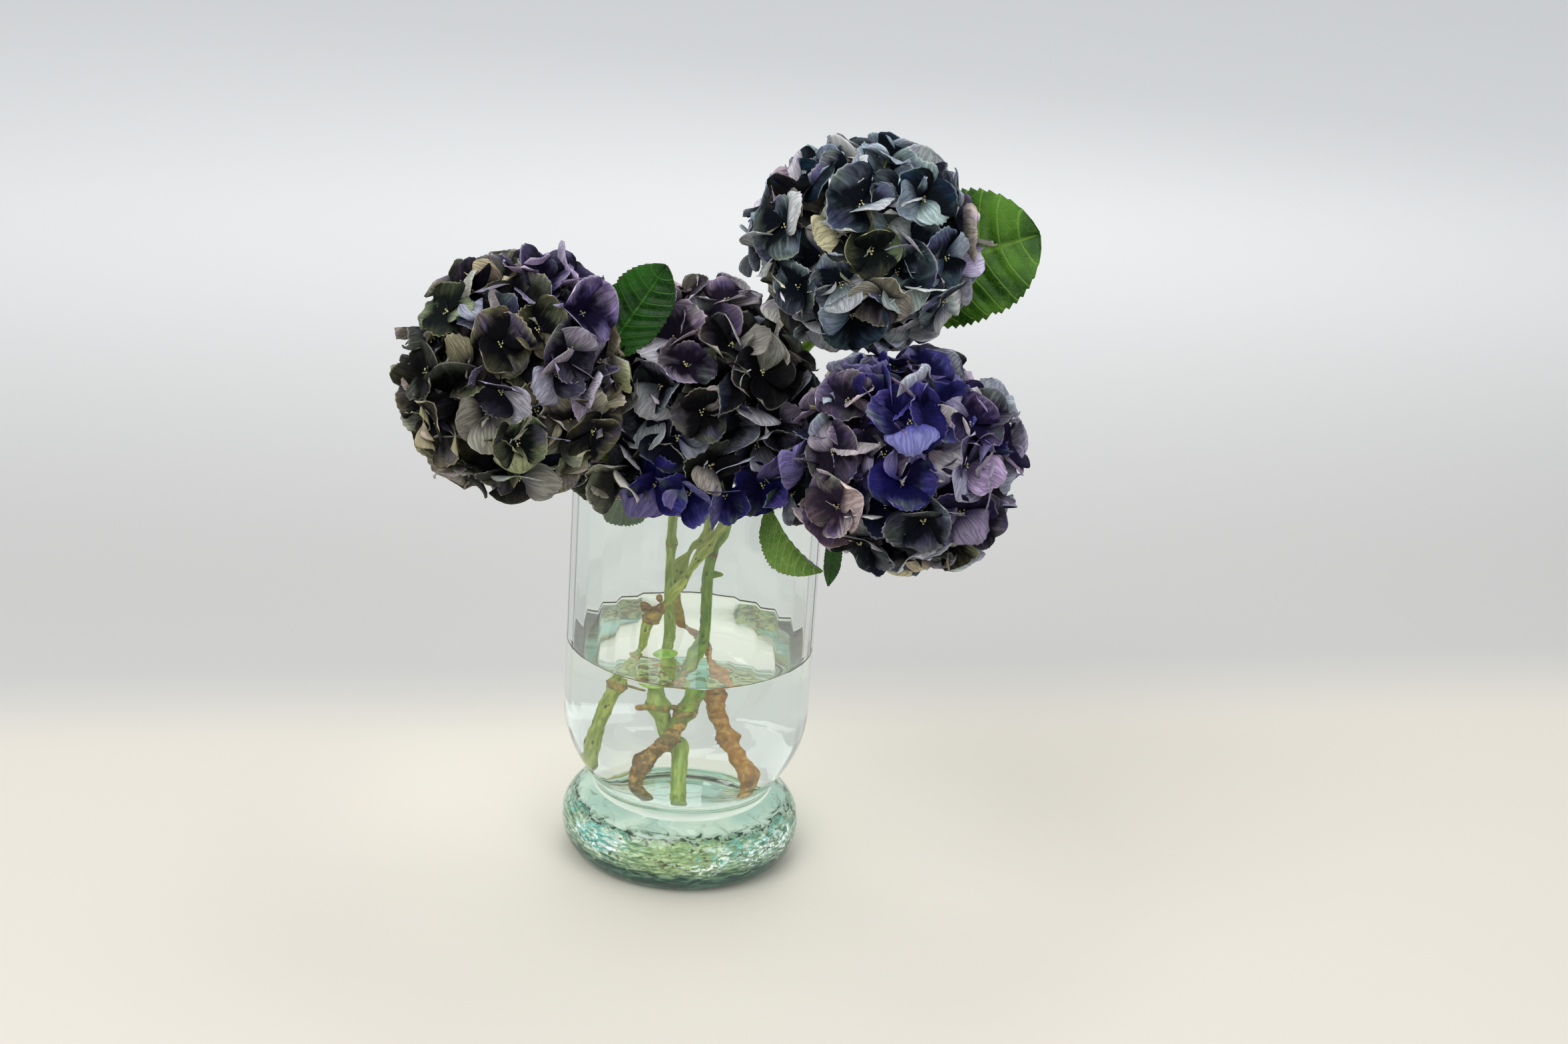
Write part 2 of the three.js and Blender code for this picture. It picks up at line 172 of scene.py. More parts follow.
# ---------------------------------------------------------------- node trees
class Number:
    """A number in a material's node tree, on which Python's operators add Math nodes."""

    def __init__(self, tree: NodeTree, socket: NodeSocket) -> None:
        """Wraps one output socket of a tree."""
        self.tree = tree
        self.socket = socket

    def math(self, operation: str, *others: "Number | float", first: "float | None" = None) -> "Number":
        """Adds a Math node.

        Args:
            operation: Blender's name of the operation.
            others: the numbers after this one.
            first: a plain number that goes before this one.
        Returns:
            The node's result.
        """
        node = self.tree.nodes.new("ShaderNodeMath")
        node.operation = operation
        terms = ([] if first is None else [first]) + [self, *others]
        for place, term in zip(node.inputs, terms):
            if isinstance(term, Number):
                self.tree.links.new(term.socket, place)
            else:
                place.default_value = term
        return Number(self.tree, node.outputs[0])

    def __add__(self, other: "Number | float") -> "Number":
        """The sum."""
        return self.math("ADD", other)

    def __mul__(self, other: "Number | float") -> "Number":
        """The product."""
        return self.math("MULTIPLY", other)

    def __sub__(self, other: "Number | float") -> "Number":
        """The difference."""
        return self.math("SUBTRACT", other)

    def __rsub__(self, other: float) -> "Number":
        """The difference, from a plain number."""
        return self.math("SUBTRACT", first=other)

    def __abs__(self) -> "Number":
        """The size without its sign."""
        return self.math("ABSOLUTE")

    def most(self, other: "Number | float") -> "Number":
        """The larger of the two."""
        return self.math("MAXIMUM", other)

    def step(self, low: float, high: float) -> "Number":
        """A smooth step from 0 at low to 1 at high, or down where low is the larger."""
        node = self.tree.nodes.new("ShaderNodeMapRange")
        node.interpolation_type = "SMOOTHSTEP"
        self.tree.links.new(self.socket, node.inputs["Value"])
        node.inputs["From Min"].default_value = low
        node.inputs["From Max"].default_value = high
        return Number(self.tree, node.outputs["Result"])

    def ridge(self, sharpness: float) -> "Number":
        """1 where a noise crosses its middle, falling to 0 on both sides."""
        return (1 - abs(self - 0.5) * sharpness).most(0.0)


class Finish:
    """A material in the making, with one method for every kind of node."""

    def __init__(self, name: str) -> None:
        """Starts an empty material of that name."""
        self.material = bpy.data.materials.new(name)
        self.material.use_nodes = True
        self.tree = self.material.node_tree
        self.tree.nodes.clear()

    def node(self, kind: str, settings: "dict | None" = None,
             sockets: "dict | None" = None) -> Node:
        """Adds a node.

        Args:
            kind: the node's type without its prefix, such as TexNoise.
            settings: what is set on the node itself.
            sockets: links, plain values or colour codes for its input sockets, by name or number.
        Returns:
            The node.
        """
        node = self.tree.nodes.new("ShaderNode" + kind)
        for key, value in (settings or {}).items():
            setattr(node, key, value)
        for key, value in (sockets or {}).items():
            place = node.inputs[key]
            if isinstance(value, Number):
                self.tree.links.new(value.socket, place)
            elif isinstance(value, NodeSocket):
                self.tree.links.new(value, place)
            else:
                place.default_value = colour(value) if isinstance(value, str) else value
        return node

    def number(self, node: Node, output: "str | int") -> Number:
        """One output of a node as a number."""
        return Number(self.tree, node.outputs[output])

    def places(self) -> NodeSocket:
        """The place on the object, in metres in the model's frame."""
        return self.node("TexCoord").outputs["Object"]

    def axes(self, vector: NodeSocket) -> tuple[Number, Number, Number]:
        """A vector's three numbers."""
        split = self.node("SeparateXYZ", sockets={"Vector": vector})
        return tuple(self.number(split, i) for i in range(3))

    def pattern(self) -> tuple[Number, Number]:
        """The place on the piece's pattern: how far across and how far along, each from 0 to 1."""
        return self.axes(self.node("UVMap", {"uv_map": PATTERN}).outputs[0])[:2]

    def vector(self, x: "Number | float", y: "Number | float",
               z: "Number | float" = 0.0) -> NodeSocket:
        """A vector from three numbers."""
        return self.node("CombineXYZ", sockets={"X": x, "Y": y, "Z": z}).outputs[0]

    def noise(self, vector: NodeSocket, scale: float, detail: float,
              shift: float = 0.0) -> Number:
        """A soft noise from 0 to 1.

        Args:
            vector: where it is read.
            scale: how many of its swells go in one unit.
            detail: how many finer layers it has.
            shift: its distortion.
        Returns:
            The noise.
        """
        sockets = {"Vector": vector, "Scale": scale, "Detail": detail, "Distortion": shift}
        return self.number(self.node("TexNoise", sockets=sockets), "Fac")

    def cells(self, vector: NodeSocket, scale: float, feature: str = "F1") -> Number:
        """The distance that a pattern of cells gives, from their middles or, as a feature, their edges."""
        sockets = {"Vector": vector, "Scale": scale}
        return self.number(self.node("TexVoronoi", {"feature": feature}, sockets), "Distance")

    def blend(self, share: "Number | float", a: object, b: object, how: str = "MIX") -> NodeSocket:
        """Mixes two colours.

        Args:
            share: 0 for the first, 1 for the second.
            a: the first colour's socket or code.
            b: the second colour's socket or code.
            how: Blender's blend type.
        Returns:
            The mixed colour.
        """
        settings = {"data_type": "RGBA", "blend_type": how, "clamp_factor": True}
        return self.node("Mix", settings, {0: share, 6: a, 7: b}).outputs[2]

    def bump(self, height: Number, distance: float, strength: float = 1.0) -> NodeSocket:
        """The normal of a surface raised by a height, with the distance in metres."""
        sockets = {"Height": height, "Distance": distance, "Strength": strength}
        return self.node("Bump", sockets=sockets).outputs[0]

    def principled(self, **sockets: object) -> Node:
        """Adds the main shader; an underscore in a name stands for a space."""
        return self.node("BsdfPrincipled", sockets={key.replace("_", " "): v for key, v in sockets.items()})

    def close(self, shader: Node) -> Material:
        """Ends the material in one shader and returns it."""
        output = self.tree.nodes.new("ShaderNodeOutputMaterial")
        self.tree.links.new(shader.outputs[0], output.inputs["Surface"])
        return self.material

    def let_lamps_through(self, shader: Node, tint: str) -> Node:
        """Puts a clear shader in for the lamps' rays, so that what stands behind glass is lit.

        Args:
            shader: what every other ray sees.
            tint: the code of the colour that the light takes on.
        Returns:
            The mixed shader.
        """
        shadow = self.node("LightPath").outputs["Is Shadow Ray"]
        clear = self.node("BsdfTransparent", sockets={"Color": tint})
        return self.node("MixShader", sockets={0: shadow, 1: shader.outputs[0], 2: clear.outputs[0]})


# ---------------------------------------------------------------- meshes
class Shape:
    """A mesh modelled with bmesh operators, which becomes one piece of the scene."""

    def __init__(self, tints: Iterable[str] = ()) -> None:
        """Starts an empty mesh with a UV map and colour layers of the given names."""
        self.bm = bmesh.new()
        self.uv = self.bm.loops.layers.uv.new(PATTERN)
        self.tints = [self.bm.verts.layers.float_color.new(name) for name in tints]

    def sheet(self, columns: int, rows: int, place: Callable[[float, float], Vector],
              tints: Iterable[tuple] = (), slot: int = 0) -> list[BMVert]:
        """Adds a grid and lays it out by a formula.

        Args:
            columns: faces across.
            rows: faces along.
            place: gives the place of a point from how far across and along it is, each from 0 to 1.
            tints: one colour for each colour layer.
            slot: the number of the faces' material.
        Returns:
            The new vertices.
        """
        made = bmesh.ops.create_grid(self.bm, x_segments=columns, y_segments=rows, size=0.5)["verts"]
        spots = {vert: (vert.co.x + 0.5, vert.co.y + 0.5) for vert in made}
        for face in self.smooth(made, slot):
            for loop in face.loops:
                loop[self.uv].uv = spots[loop.vert]
        for vert, (across, along) in spots.items():
            vert.co = place(across, along)
            for layer, tint in zip(self.tints, tints):
                vert[layer] = tint
        return made

    @staticmethod
    def smooth(made: Iterable[BMVert], slot: int) -> set[BMFace]:
        """Smooths the faces round some vertices, gives them a material's number and returns them."""
        faces = {face for vert in made for face in vert.link_faces}
        for face in faces:
            face.smooth = True
            face.material_index = slot
        return faces

    def tube(self, path: Path, sides: int, rows: int, radius: Callable[[float, float, Vector], float],
             slot: int = 0) -> None:
        """Adds a closed tube along a path.

        Args:
            path: its middle line.
            sides: faces around.
            rows: faces along.
            radius: gives the radius from the share of the way along, the angle and the middle's place.
            slot: the number of the faces' material.
        """
        frames = path.frames(rows + 1)

        def place(across: float, along: float) -> Vector:
            """A point of the tube's wall, in metres."""
            middle, side, other = frames[round(along * rows)]
            angle = -FULL_TURN * across
            reach = radius(along, angle, middle)
            return middle + (side * math.cos(angle) + other * math.sin(angle)) * reach

        self.close_round(self.sheet(sides, rows, place, slot=slot))

    def close_round(self, made: list[BMVert]) -> None:
        """Merges the seam of a sheet that has been rolled up, and fills its two ends."""
        bmesh.ops.remove_doubles(self.bm, verts=made, dist=SEAM_WIDTH)
        open_edges = [edge for edge in self.bm.edges if edge.is_boundary]
        filled = bmesh.ops.holes_fill(self.bm, edges=open_edges, sides=0)["faces"]
        bmesh.ops.recalc_face_normals(self.bm, faces=filled)

    def ball(self, centre: Vector, radius: float, fineness: int = 1, stretch: "Vector | None" = None,
             slot: int = 0) -> None:
        """Adds a small round body.

        Args:
            centre: its middle.
            radius: its radius.
            fineness: how finely its surface is cut.
            stretch: the half axis along which it is stretched, if it is.
            slot: the number of the faces' material.
        """
        made = bmesh.ops.create_icosphere(self.bm, subdivisions=fineness, radius=radius)["verts"]
        if stretch is not None:
            turn = UP.rotation_difference(stretch).to_matrix()
            shape = turn @ Matrix.Diagonal((1, 1, stretch.length / radius))
            bmesh.ops.transform(self.bm, matrix=shape.to_4x4(), verts=made)
        bmesh.ops.translate(self.bm, vec=centre, verts=made)
        self.smooth(made, slot)

    def flake(self, centre: Vector, along: Vector, across: Vector, thickness: float, slot: int) -> None:
        """Adds a flat round body.

        Args:
            centre: its middle.
            along: one of its half axes.
            across: its other half axis.
            thickness: half its thickness.
            slot: the number of the faces' material.
        """
        made = bmesh.ops.create_icosphere(self.bm, subdivisions=3, radius=1)["verts"]
        axes = Matrix((along, across, along.cross(across).normalized() * thickness)).transposed()
        bmesh.ops.transform(self.bm, matrix=Matrix.Translation(centre) @ axes.to_4x4(), verts=made)
        self.smooth(made, slot)

    def turned(self, outline: list[Vector], steps: int, move: Callable[[Vector], Vector]) -> None:
        """Adds a closed body turned on the vertical axis, and brings it from millimetres to metres.

        Args:
            outline: its half outline in millimetres, with both ends on the axis.
            steps: faces around.
            move: gives the place of a point of the turned body, in millimetres.
        """
        verts = [self.bm.verts.new(point) for point in outline]
        edges = [self.bm.edges.new(pair) for pair in zip(verts, verts[1:])]
        bmesh.ops.spin(self.bm, geom=verts + edges, cent=(0, 0, 0), axis=UP, dvec=(0, 0, 0),
                       angle=FULL_TURN, steps=steps, use_merge=True, use_duplicate=False)
        bmesh.ops.remove_doubles(self.bm, verts=self.bm.verts[:], dist=SEAM_WIDTH)
        bmesh.ops.recalc_face_normals(self.bm, faces=self.bm.faces[:])
        self.smooth(self.bm.verts, 0)
        for vert in self.bm.verts:
            vert.co = move(vert.co) * MM

    def piece(self, name: str, node: str, slot: str, finishes: list[Material]) -> Object:
        """Ends the mesh as a piece that stands for a node.

        Args:
            name: the piece's name.
            node: the node that it stands for.
            slot: the material slot that it would take its finish from; not used.
            finishes: its materials, in the order of its faces' numbers.
        Returns:
            The piece.
        """
        mesh = bpy.data.meshes.new(name)
        self.bm.to_mesh(mesh)
        self.bm.free()
        for finish in finishes:
            mesh.materials.append(finish)
        piece = bpy.data.objects.new(name, mesh)
        bpy.context.scene.collection.objects.link(piece)
        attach(piece, "root")
        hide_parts(node)
        log.info("%s: %d faces for %s", name, len(mesh.polygons), node)
        return piece


def thicken(piece: Object, thickness: float, back_slot: int) -> None:
    """Gives a thin sheet its thickness, with another finish on its back."""
    wall = piece.modifiers.new("thickness", "SOLIDIFY")
    wall.thickness = thickness
    wall.offset = -1
    wall.material_offset = back_slot


# ---------------------------------------------------------------- petals
SEPAL_LAYERS = ("heart", "rim", "back")


class Tone(Enum):
    """A sepal's colours: near its claw, near its rim, and on its back."""

    CHARCOAL = ("#09090d", "#2d2e2b", "#a3a194")
    OLIVE = ("#0d0d12", "#48472f", "#b3ad90")
    SLATE = ("#0b0f16", "#454a54", "#b9bbbc")
    NAVY = ("#070a1c", "#1b2543", "#a2a6b6")
    ROYAL = ("#0f0d42", "#2c2b7c", "#7a759c")
    VIOLET = ("#17112f", "#443a62", "#a89eb4")
    LILAC = ("#17122f", "#625982", "#c2b8cc")
    MAUVE = ("#211a2c", "#6f6476", "#d2c5ca")
    ROSE = ("#2a2030", "#84727a", "#dccac4")
    CREAM = ("#2e2d2c", "#8f8b7c", "#ece5cc")
    TEAL = ("#060c14", "#1a3c52", "#a9b7bf")
    SILVER = ("#0e1620", "#64747f", "#d4d8da")
    MOSS = ("#101514", "#4a523a", "#b5b895")
    DUSK = ("#12111c", "#3d384b", "#aca5b4")


@dataclass(frozen=True)
class PetalFinish:
    """The velvety, veined surface of the sepals, whose colours come from the mesh.

    Args:
        name: the material's name.
        is_back: True for the paler underside with its raised, darker veins.
    """

    name: str
    is_back: bool

    def make(self) -> Material:
        """Returns the material."""
        f = Finish(self.name)
        across, along = f.pattern()
        layers = [f.node("Attribute", {"attribute_name": name}) for name in SEPAL_LAYERS]
        seed, fade = (f.number(layer, "Alpha") for layer in layers[:2])
        heart, rim, back = (layer.outputs["Color"] for layer in layers)
        places = f.places()
        mottle = f.noise(places, 95, 3)
        drift = f.noise(f.vector(across * 0.9, along * 0.7, seed * 70), 1.6, 2)
        fan = f.noise(f.vector(across * 11, along * 1.6 + across, seed * 90), 1, 2.5, 0.4)
        veins = fan.ridge(9) * along.step(0.02, 0.2)
        wrinkles = f.noise(f.vector(across * 24, along * 5, seed * 50), 1, 2, 0.3)
        if self.is_back:
            shade = (mottle * 0.5 + along * 0.55).step(0.15, 0.75)
            tint = f.blend(shade * 0.75 + 0.25, f.blend(0.5, rim, back), back)
            tint = f.blend(drift.step(0.5, 0.66) * 0.3, tint, "#6a4f86", "COLOR")
            tint = f.blend(veins * 0.5, tint, rim)
        else:
            shade = (along + (mottle - 0.5) * 0.9 + (fan - 0.5) * 0.5 + fade).step(0.36, 1.05)
            blush = f.blend(drift.step(0.5, 0.66) * 0.55, rim, "#493a78", "COLOR")
            blush = f.blend(drift.step(0.46, 0.34) * 0.55, blush, "#46523f", "COLOR")
            tint = f.blend(shade, heart, blush)
            tint = f.blend(fade * along.step(0.1, 0.6), tint, f.blend(0.7, rim, back))
            tint = f.blend(veins * 0.45, tint, heart)
            tint = f.blend(along.step(0.93, 1.0) * 0.3, tint, back)
        raised = veins * (0.6 if self.is_back else -0.6) + wrinkles * 0.7
        shader = f.principled(Base_Color=tint, Roughness=0.6, Specular_IOR_Level=0.05,
                              Normal=f.bump(raised, 0.5 * MM, 0.8))
        return f.close(shader)


@dataclass(frozen=True)
class PlainFinish:
    """A soft, slightly mottled surface for hidden or tiny plant parts.

    Args:
        name: the material's name.
        dark: its darker colour.
        light: its lighter colour.
        grain: how many swells of the mottling go in a metre.
        roughness: how matt it is.
    """

    name: str
    dark: str
    light: str
    grain: float = 300
    roughness: float = 0.6

    def make(self) -> Material:
        """Returns the material."""
        f = Finish(self.name)
        swell = f.noise(f.places(), self.grain, 3)
        tint = f.blend(swell.step(0.3, 0.7), self.dark, self.light)
        shader = f.principled(Base_Color=tint, Roughness=self.roughness, Normal=f.bump(swell, 0.4 * MM, 0.5))
        return f.close(shader)


@dataclass
class Sepal:
    """One broad, toothed and waved blade of a floret, which starts at a narrow claw.

    Args:
        length: from claw to tip, in metres.
        width: half its greatest width, in metres.
        lift: its slope over the floret's plane at the claw and at the tip, in radians.
        roll: how far one of its sides stands over the other, in radians.
        crook: how far its two sides bend up, in metres.
        wave: how far its rim waves, in metres.
        phase: where the waves start, in radians.
        turn: the way it points in the floret's plane, in radians.
        teeth: how far its teeth stand out, in metres.
    """

    length: float
    width: float
    lift: tuple[float, float]
    roll: float
    crook: float
    wave: float
    phase: float
    turn: float

    teeth: float = 0.55 * MM
    rim_from: float = 0.95
    least_bend: float = 0.01

    def place(self, across: float, along: float) -> Vector:
        """A point of the blade in the floret's own frame, whose plane is XY.

        Args:
            across: how far across the blade it is, from 0 to 1.
            along: how far from claw to tip it is, from 0 to 1.
        Returns:
            The point, in metres.
        """
        side = 2 * across - 1
        half = self.width * math.sin(math.pi * 0.8 * along**0.85 + 0.03) ** 0.8
        tooth = self.teeth * math.sin(47 * side + 31 * along + self.phase)
        rim = max(ease(self.rim_from, 1, abs(side)), ease(self.rim_from, 1, along))
        x = side * (half + tooth * rim)
        out = along - 0.2 * side * side * along * along + tooth * rim / self.length
        start, end = self.lift
        bend = end - start if abs(end - start) > self.least_bend else self.least_bend
        flat = (math.sin(start + bend * out) - math.sin(start)) / bend * self.length
        rise = (math.cos(start) - math.cos(start + bend * out)) / bend * self.length
        ruffle = math.sin(3.1 * side + self.phase) * along**2
        ruffle += math.sin(5 * along + 2 * self.phase) * side * abs(side)
        rise += self.crook * side * side * along + self.wave * ruffle + x * math.sin(self.roll)
        x *= math.cos(self.roll)
        c, s = math.cos(self.turn), math.sin(self.turn)
        return Vector((flat * c + x * s, flat * s - x * c, rise))


@dataclass
class Floret:
    """Where one floret sits in its head.

    Args:
        place: its middle.
        facing: the way its middle looks.
        way: its direction from the head's middle.
        sunk: how far its middle lies under the head's outline, in metres.
        loose: True where it hangs or stands out of that outline.
    """

    place: Vector
    facing: Vector
    way: Vector
    sunk: float
    loose: bool = False

    level_margin: float = 4 * MM
    meeting_share: float = 1.7
    facing_share: float = 0.8

    def lift(self, out: Vector, length: float, others: list["Floret"],
             draw: random.Random) -> tuple[float, float]:
        """How a sepal slopes: freely, over or under the floret that it points at, or pressed up against it.

        Args:
            out: the way the sepal points.
            length: the sepal's length.
            others: the florets round this one.
            draw: the head's random draws.
        Returns:
            Its slope at the claw and at the tip, in radians.
        """
        for other in others:
            gap = other.place - self.place
            distance = gap.length
            if distance > self.meeting_share * length or gap.dot(out) < self.facing_share * distance:
                continue
            deeper = self.sunk - other.sunk
            if deeper > self.level_margin:
                return draw.uniform(0.0, 0.3), draw.uniform(-0.3, 0.3)
            if deeper < -self.level_margin:
                return draw.uniform(0.1, 0.6), draw.uniform(-0.6, 0.6)
            upright = math.acos(min(1.0, 0.5 * distance / length))
            return upright * draw.uniform(0.6, 1.0), upright * draw.uniform(0.7, 1.35)
        return draw.uniform(0.1, 0.7), draw.uniform(-0.7, 0.8)


@dataclass(frozen=True)
class Accent:
    """A patch of a flower head with a tone of its own.

    Args:
        way: the patch's direction from the head's middle.
        reach: the least cosine of a floret's direction to it.
        tone: what most of its florets are.
        share: the share of its florets that are.
    """

    way: Spot
    reach: float
    tone: Tone
    share: float = 0.75


@dataclass
class Bloom:
    """A mop-head flower head: overlapping florets of four sepals on stalks from a hidden heart, a near-black
    ball of painted shade.

    Args:
        name: which of the four it is.
        centre: its middle, in metres.
        radii: its half widths, in metres.
        stem_way: the direction from the middle to where its stem enters.
        seed: starts its own random draws.
        tones: how often each tone comes.
        accents: patches with another tone.
        faded: the share of its sepals that are pale on their front too.
        drapes: more florets that hang or stand out of it, each a place in millimetres and the way it faces.
        neighbours: the other heads, which press on it.
    """

    name: str
    centre: Vector
    radii: Vector
    stem_way: Vector
    seed: int
    tones: dict[Tone, float]
    accents: list[Accent] = field(default_factory=list)
    faded: float = 0.1
    drapes: list[tuple] = field(default_factory=list)
    neighbours: list["Bloom"] = field(default_factory=list, repr=False)
    draw: random.Random = field(init=False, repr=False)

    outer_count: int = 88
    inner_count: int = 36
    outer_depth: tuple[float, float] = (13 * MM, 24 * MM)
    inner_depth: tuple[float, float] = (32 * MM, 40 * MM)
    sepal_length: float = 24.5 * MM
    sepal_columns: int = 10
    sepal_rows: int = 6
    sepal_thickness: float = 0.4 * MM
    scatter: float = 0.07
    outer_tilt: float = 0.42
    inner_tilt: float = 0.6
    inner_calm: float = 0.7
    drape_depth: float = 10 * MM
    others_near: int = 6
    overhang: float = 0.35
    press_gap: float = 25 * MM
    press_overlap: float = 3 * MM
    mouth_radius: float = 88 * MM
    mouth_height: float = 300 * MM
    bare_cone: float = 0.975
    core_share: float = 0.5

    def __post_init__(self) -> None:
        """Starts the head's own random draws."""
        self.draw = random.Random(self.seed)

    def reach(self, way: Vector) -> float:
        """How far the head's round outline lies from its middle in one direction."""
        return 1 / math.hypot(*(a / b for a, b in zip(way, self.radii)))

    def settle(self, point: Vector) -> Vector:
        """Draws a point that stands out of the head's outline most of the way back to it."""
        arm = point - self.centre
        reach = self.reach(arm.normalized())
        excess = arm.length - reach
        return point if excess <= 0 else self.centre + arm.normalized() * (reach + self.overhang * excess)

    def pressed_reach(self, way: Vector) -> float:
        """How far the outline lies in one direction where a neighbour's pressure flattens it."""
        reach = self.reach(way)
        for other in self.neighbours:
            apart = other.centre - self.centre
            distance = apart.length
            apart.normalize()
            overlap = self.reach(apart) + other.reach(-apart) - distance
            cosine = way.dot(apart)
            if overlap > -self.press_gap and cosine > 0.2:
                reach = min(reach, (self.reach(apart) - overlap / 2 + self.press_overlap) / cosine)
        return reach

    def tone_for(self, way: Vector) -> Tone:
        """The tone of a floret, by its patch or by how often each tone comes."""
        for accent in self.accents:
            is_near = way.dot(Vector(accent.way).normalized()) > accent.reach
            if is_near and self.draw.random() < accent.share:
                return accent.tone
        return self.draw.choices(list(self.tones), list(self.tones.values()))[0]

    def tints(self, tone: Tone) -> list[tuple]:
        """A sepal's three colours, each lighter or darker by its own draw.

        Args:
            tone: the colours that they vary.
        Returns:
            The colours, with the veins' seed in the first one's alpha and the fading in the second one's.
        """
        draw = self.draw
        heart, rim, back = (Vector(colour(code)[:3]) for code in tone.value)
        paleness = draw.random() ** 2
        heart = heart * mix(0.3, 0.9, draw.random())
        rim = (rim * mix(0.5, 1.8, paleness)).lerp(back, 0.35 * paleness)
        back = back * mix(1.1, 1.7, draw.random())
        tints = []
        for tint in (heart, rim, back):
            tints.append([min(0.9, part * mix(0.92, 1.08, draw.random())) for part in tint] + [1.0])
        tints[0][3] = draw.random()
        tints[1][3] = mix(0.5, 1.0, draw.random()) if draw.random() < self.faded else 0.0
        return [tuple(tint) for tint in tints]

    def drawn_vector(self, size: float) -> Vector:
        """A vector each of whose three parts is drawn, up to a size either way."""
        return Vector([self.draw.uniform(-size, size) for _ in range(3)])

    def florets(self, count: int, depth: tuple[float, float], tilt: float) -> list[Floret]:
        """Spreads florets evenly over the head, in three layers.

        Args:
            count: how many would cover the whole of it.
            depth: how far under its outline their middles lie, least and most, in metres.
            tilt: how far they lean away from facing straight out.
        Returns:
            The florets.
        """
        found = []
        for i in range(count):
            height = 1 - (2 * i + 1) / count
            ring = math.sqrt(1 - height * height)
            angle = i * GOLDEN_ANGLE
            way = Vector((ring * math.cos(angle), ring * math.sin(angle), height))
            way = (way + self.drawn_vector(self.scatter)).normalized()
            lean = self.drawn_vector(tilt)
            sunk = mix(*depth, (i % 3 + self.draw.uniform(-0.3, 0.3)) / 2)
            place = self.centre + way * (self.pressed_reach(way) - sunk)
            in_vase = place.z < self.mouth_height and math.hypot(place.x, place.y) < self.mouth_radius
            if in_vase or way.dot(self.stem_way) > self.bare_cone:
                continue
            found.append(Floret(place, (way + lean).normalized(), way, sunk))
        return found

    def add_floret(self, shape: Shape, floret: Floret, others: list[Floret], calm: float) -> None:
        """Adds the four sepals of one floret.

        Args:
            shape: the mesh that they go into.
            floret: where it sits.
            others: the florets round it.
            calm: how far the sepals' slopes are evened out, from 0 to 1.
        """
        draw = self.draw
        turn = UP.rotation_difference(floret.facing) @ Quaternion(UP, draw.uniform(0, math.pi))
        size = self.sepal_length * mix(0.84, 1.12, draw.random())
        tone = self.tone_for(floret.way)
        spiral = draw.choice((-1, 1))
        for i in range(4):
            angle = i * math.pi / 2 + draw.uniform(-0.16, 0.16)
            length = size * mix(0.82, 1.12, draw.random())
            out = turn @ polar(angle)
            start, end = floret.lift(out, length, others, draw)
            sepal = Sepal(
                length=length,
                width=size * mix(0.55, 0.72, draw.random()),
                lift=(start * (1 - calm), end * (1 - calm)),
                roll=spiral * mix(0.1, 0.3, draw.random()),
                crook=mix(-4, 8, draw.random()) * MM,
                wave=mix(0.5, 2.2, draw.random()) * MM,
                phase=draw.uniform(0, FULL_TURN),
                turn=angle,
            )

            def place(across: float, along: float) -> Vector:
                """A point of the sepal, in metres."""
                point = floret.place + turn @ sepal.place(across, along)
                return point if floret.loose else self.settle(point)

            shape.sheet(self.sepal_columns, self.sepal_rows, place, self.tints(tone))

    def build(self, sepals: list[Material], stalk: Material,
              bead: Material, heart: Material) -> None:
        """Makes the head's four pieces: its sepals, stalks, bead-like middles and hidden heart of painted
        shade.

        Args:
            sepals: the finishes of the sepals' front and back.
            stalk: the stalks' finish.
            bead: the finish of the florets' middles.
            heart: the finish of the hidden heart, near-black painted shade.
        """
        outer = self.florets(self.outer_count, self.outer_depth, self.outer_tilt)
        for place, facing in self.drapes:
            hung = mm(*place)
            way = (hung - self.centre).normalized()
            outer.append(Floret(hung, Vector(facing).normalized(), way, self.drape_depth, True))
        inner = self.florets(self.inner_count, self.inner_depth, self.inner_tilt)
        self.build_sepals(outer, inner, sepals)
        self.build_middles(outer, stalk, bead)
        self.build_shade_core(heart)

    def build_sepals(self, outer: list[Floret], inner: list[Floret],
                     finishes: list[Material]) -> None:
        """Makes all the sepals as one piece.

        Args:
            outer: the florets that show.
            inner: the calmer ones under them.
            finishes: the sepals' front and back.
        """
        shape = Shape(SEPAL_LAYERS)
        for layer, calm in ((outer, 0.0), (inner, self.inner_calm)):
            for floret in layer:
                near = sorted(layer, key=lambda other: (other.place - floret.place).length)
                self.add_floret(shape, floret, near[1:1 + self.others_near], calm)
        piece = shape.piece(f"sepals_{self.name}", f"bloom_{self.name}", f"petals_{self.name}", finishes)
        thicken(piece, self.sepal_thickness, 1)

    def build_middles(self, florets: list[Floret], stalk: Material,
                      bead: Material) -> None:
        """Makes the florets' stalks as one piece and their bead-like middles as another.

        Args:
            florets: the florets that show.
            stalk: the stalks' finish.
            bead: the middles' finish.
        """
        draw, stalks, middles = self.draw, Shape(), Shape()
        for floret in florets:
            root = self.centre + floret.way * self.reach(floret.way) * self.core_share * 0.9
            knee = root.lerp(floret.place, 0.7) + floret.facing * -2 * MM
            stalks.tube(Path([root, knee, floret.place], 6), 5, 5,
                        lambda along, angle, middle: mix(1.1, 0.7, along) * MM)
            side = floret.facing.orthogonal().normalized()
            for i in range(5):
                spread = Quaternion(floret.facing, i * GOLDEN_ANGLE) @ side * (0.6 + 0.45 * i) * MM
                centre = floret.place + spread + floret.facing * draw.uniform(0.8, 2.6) * MM
                middles.ball(centre, draw.uniform(0.5, 0.85) * MM)
        stalks.piece(f"stalks_{self.name}", f"bloom_{self.name}", "stem", [stalk])
        middles.piece(f"middles_{self.name}", f"bloom_{self.name}", f"petals_{self.name}", [bead])

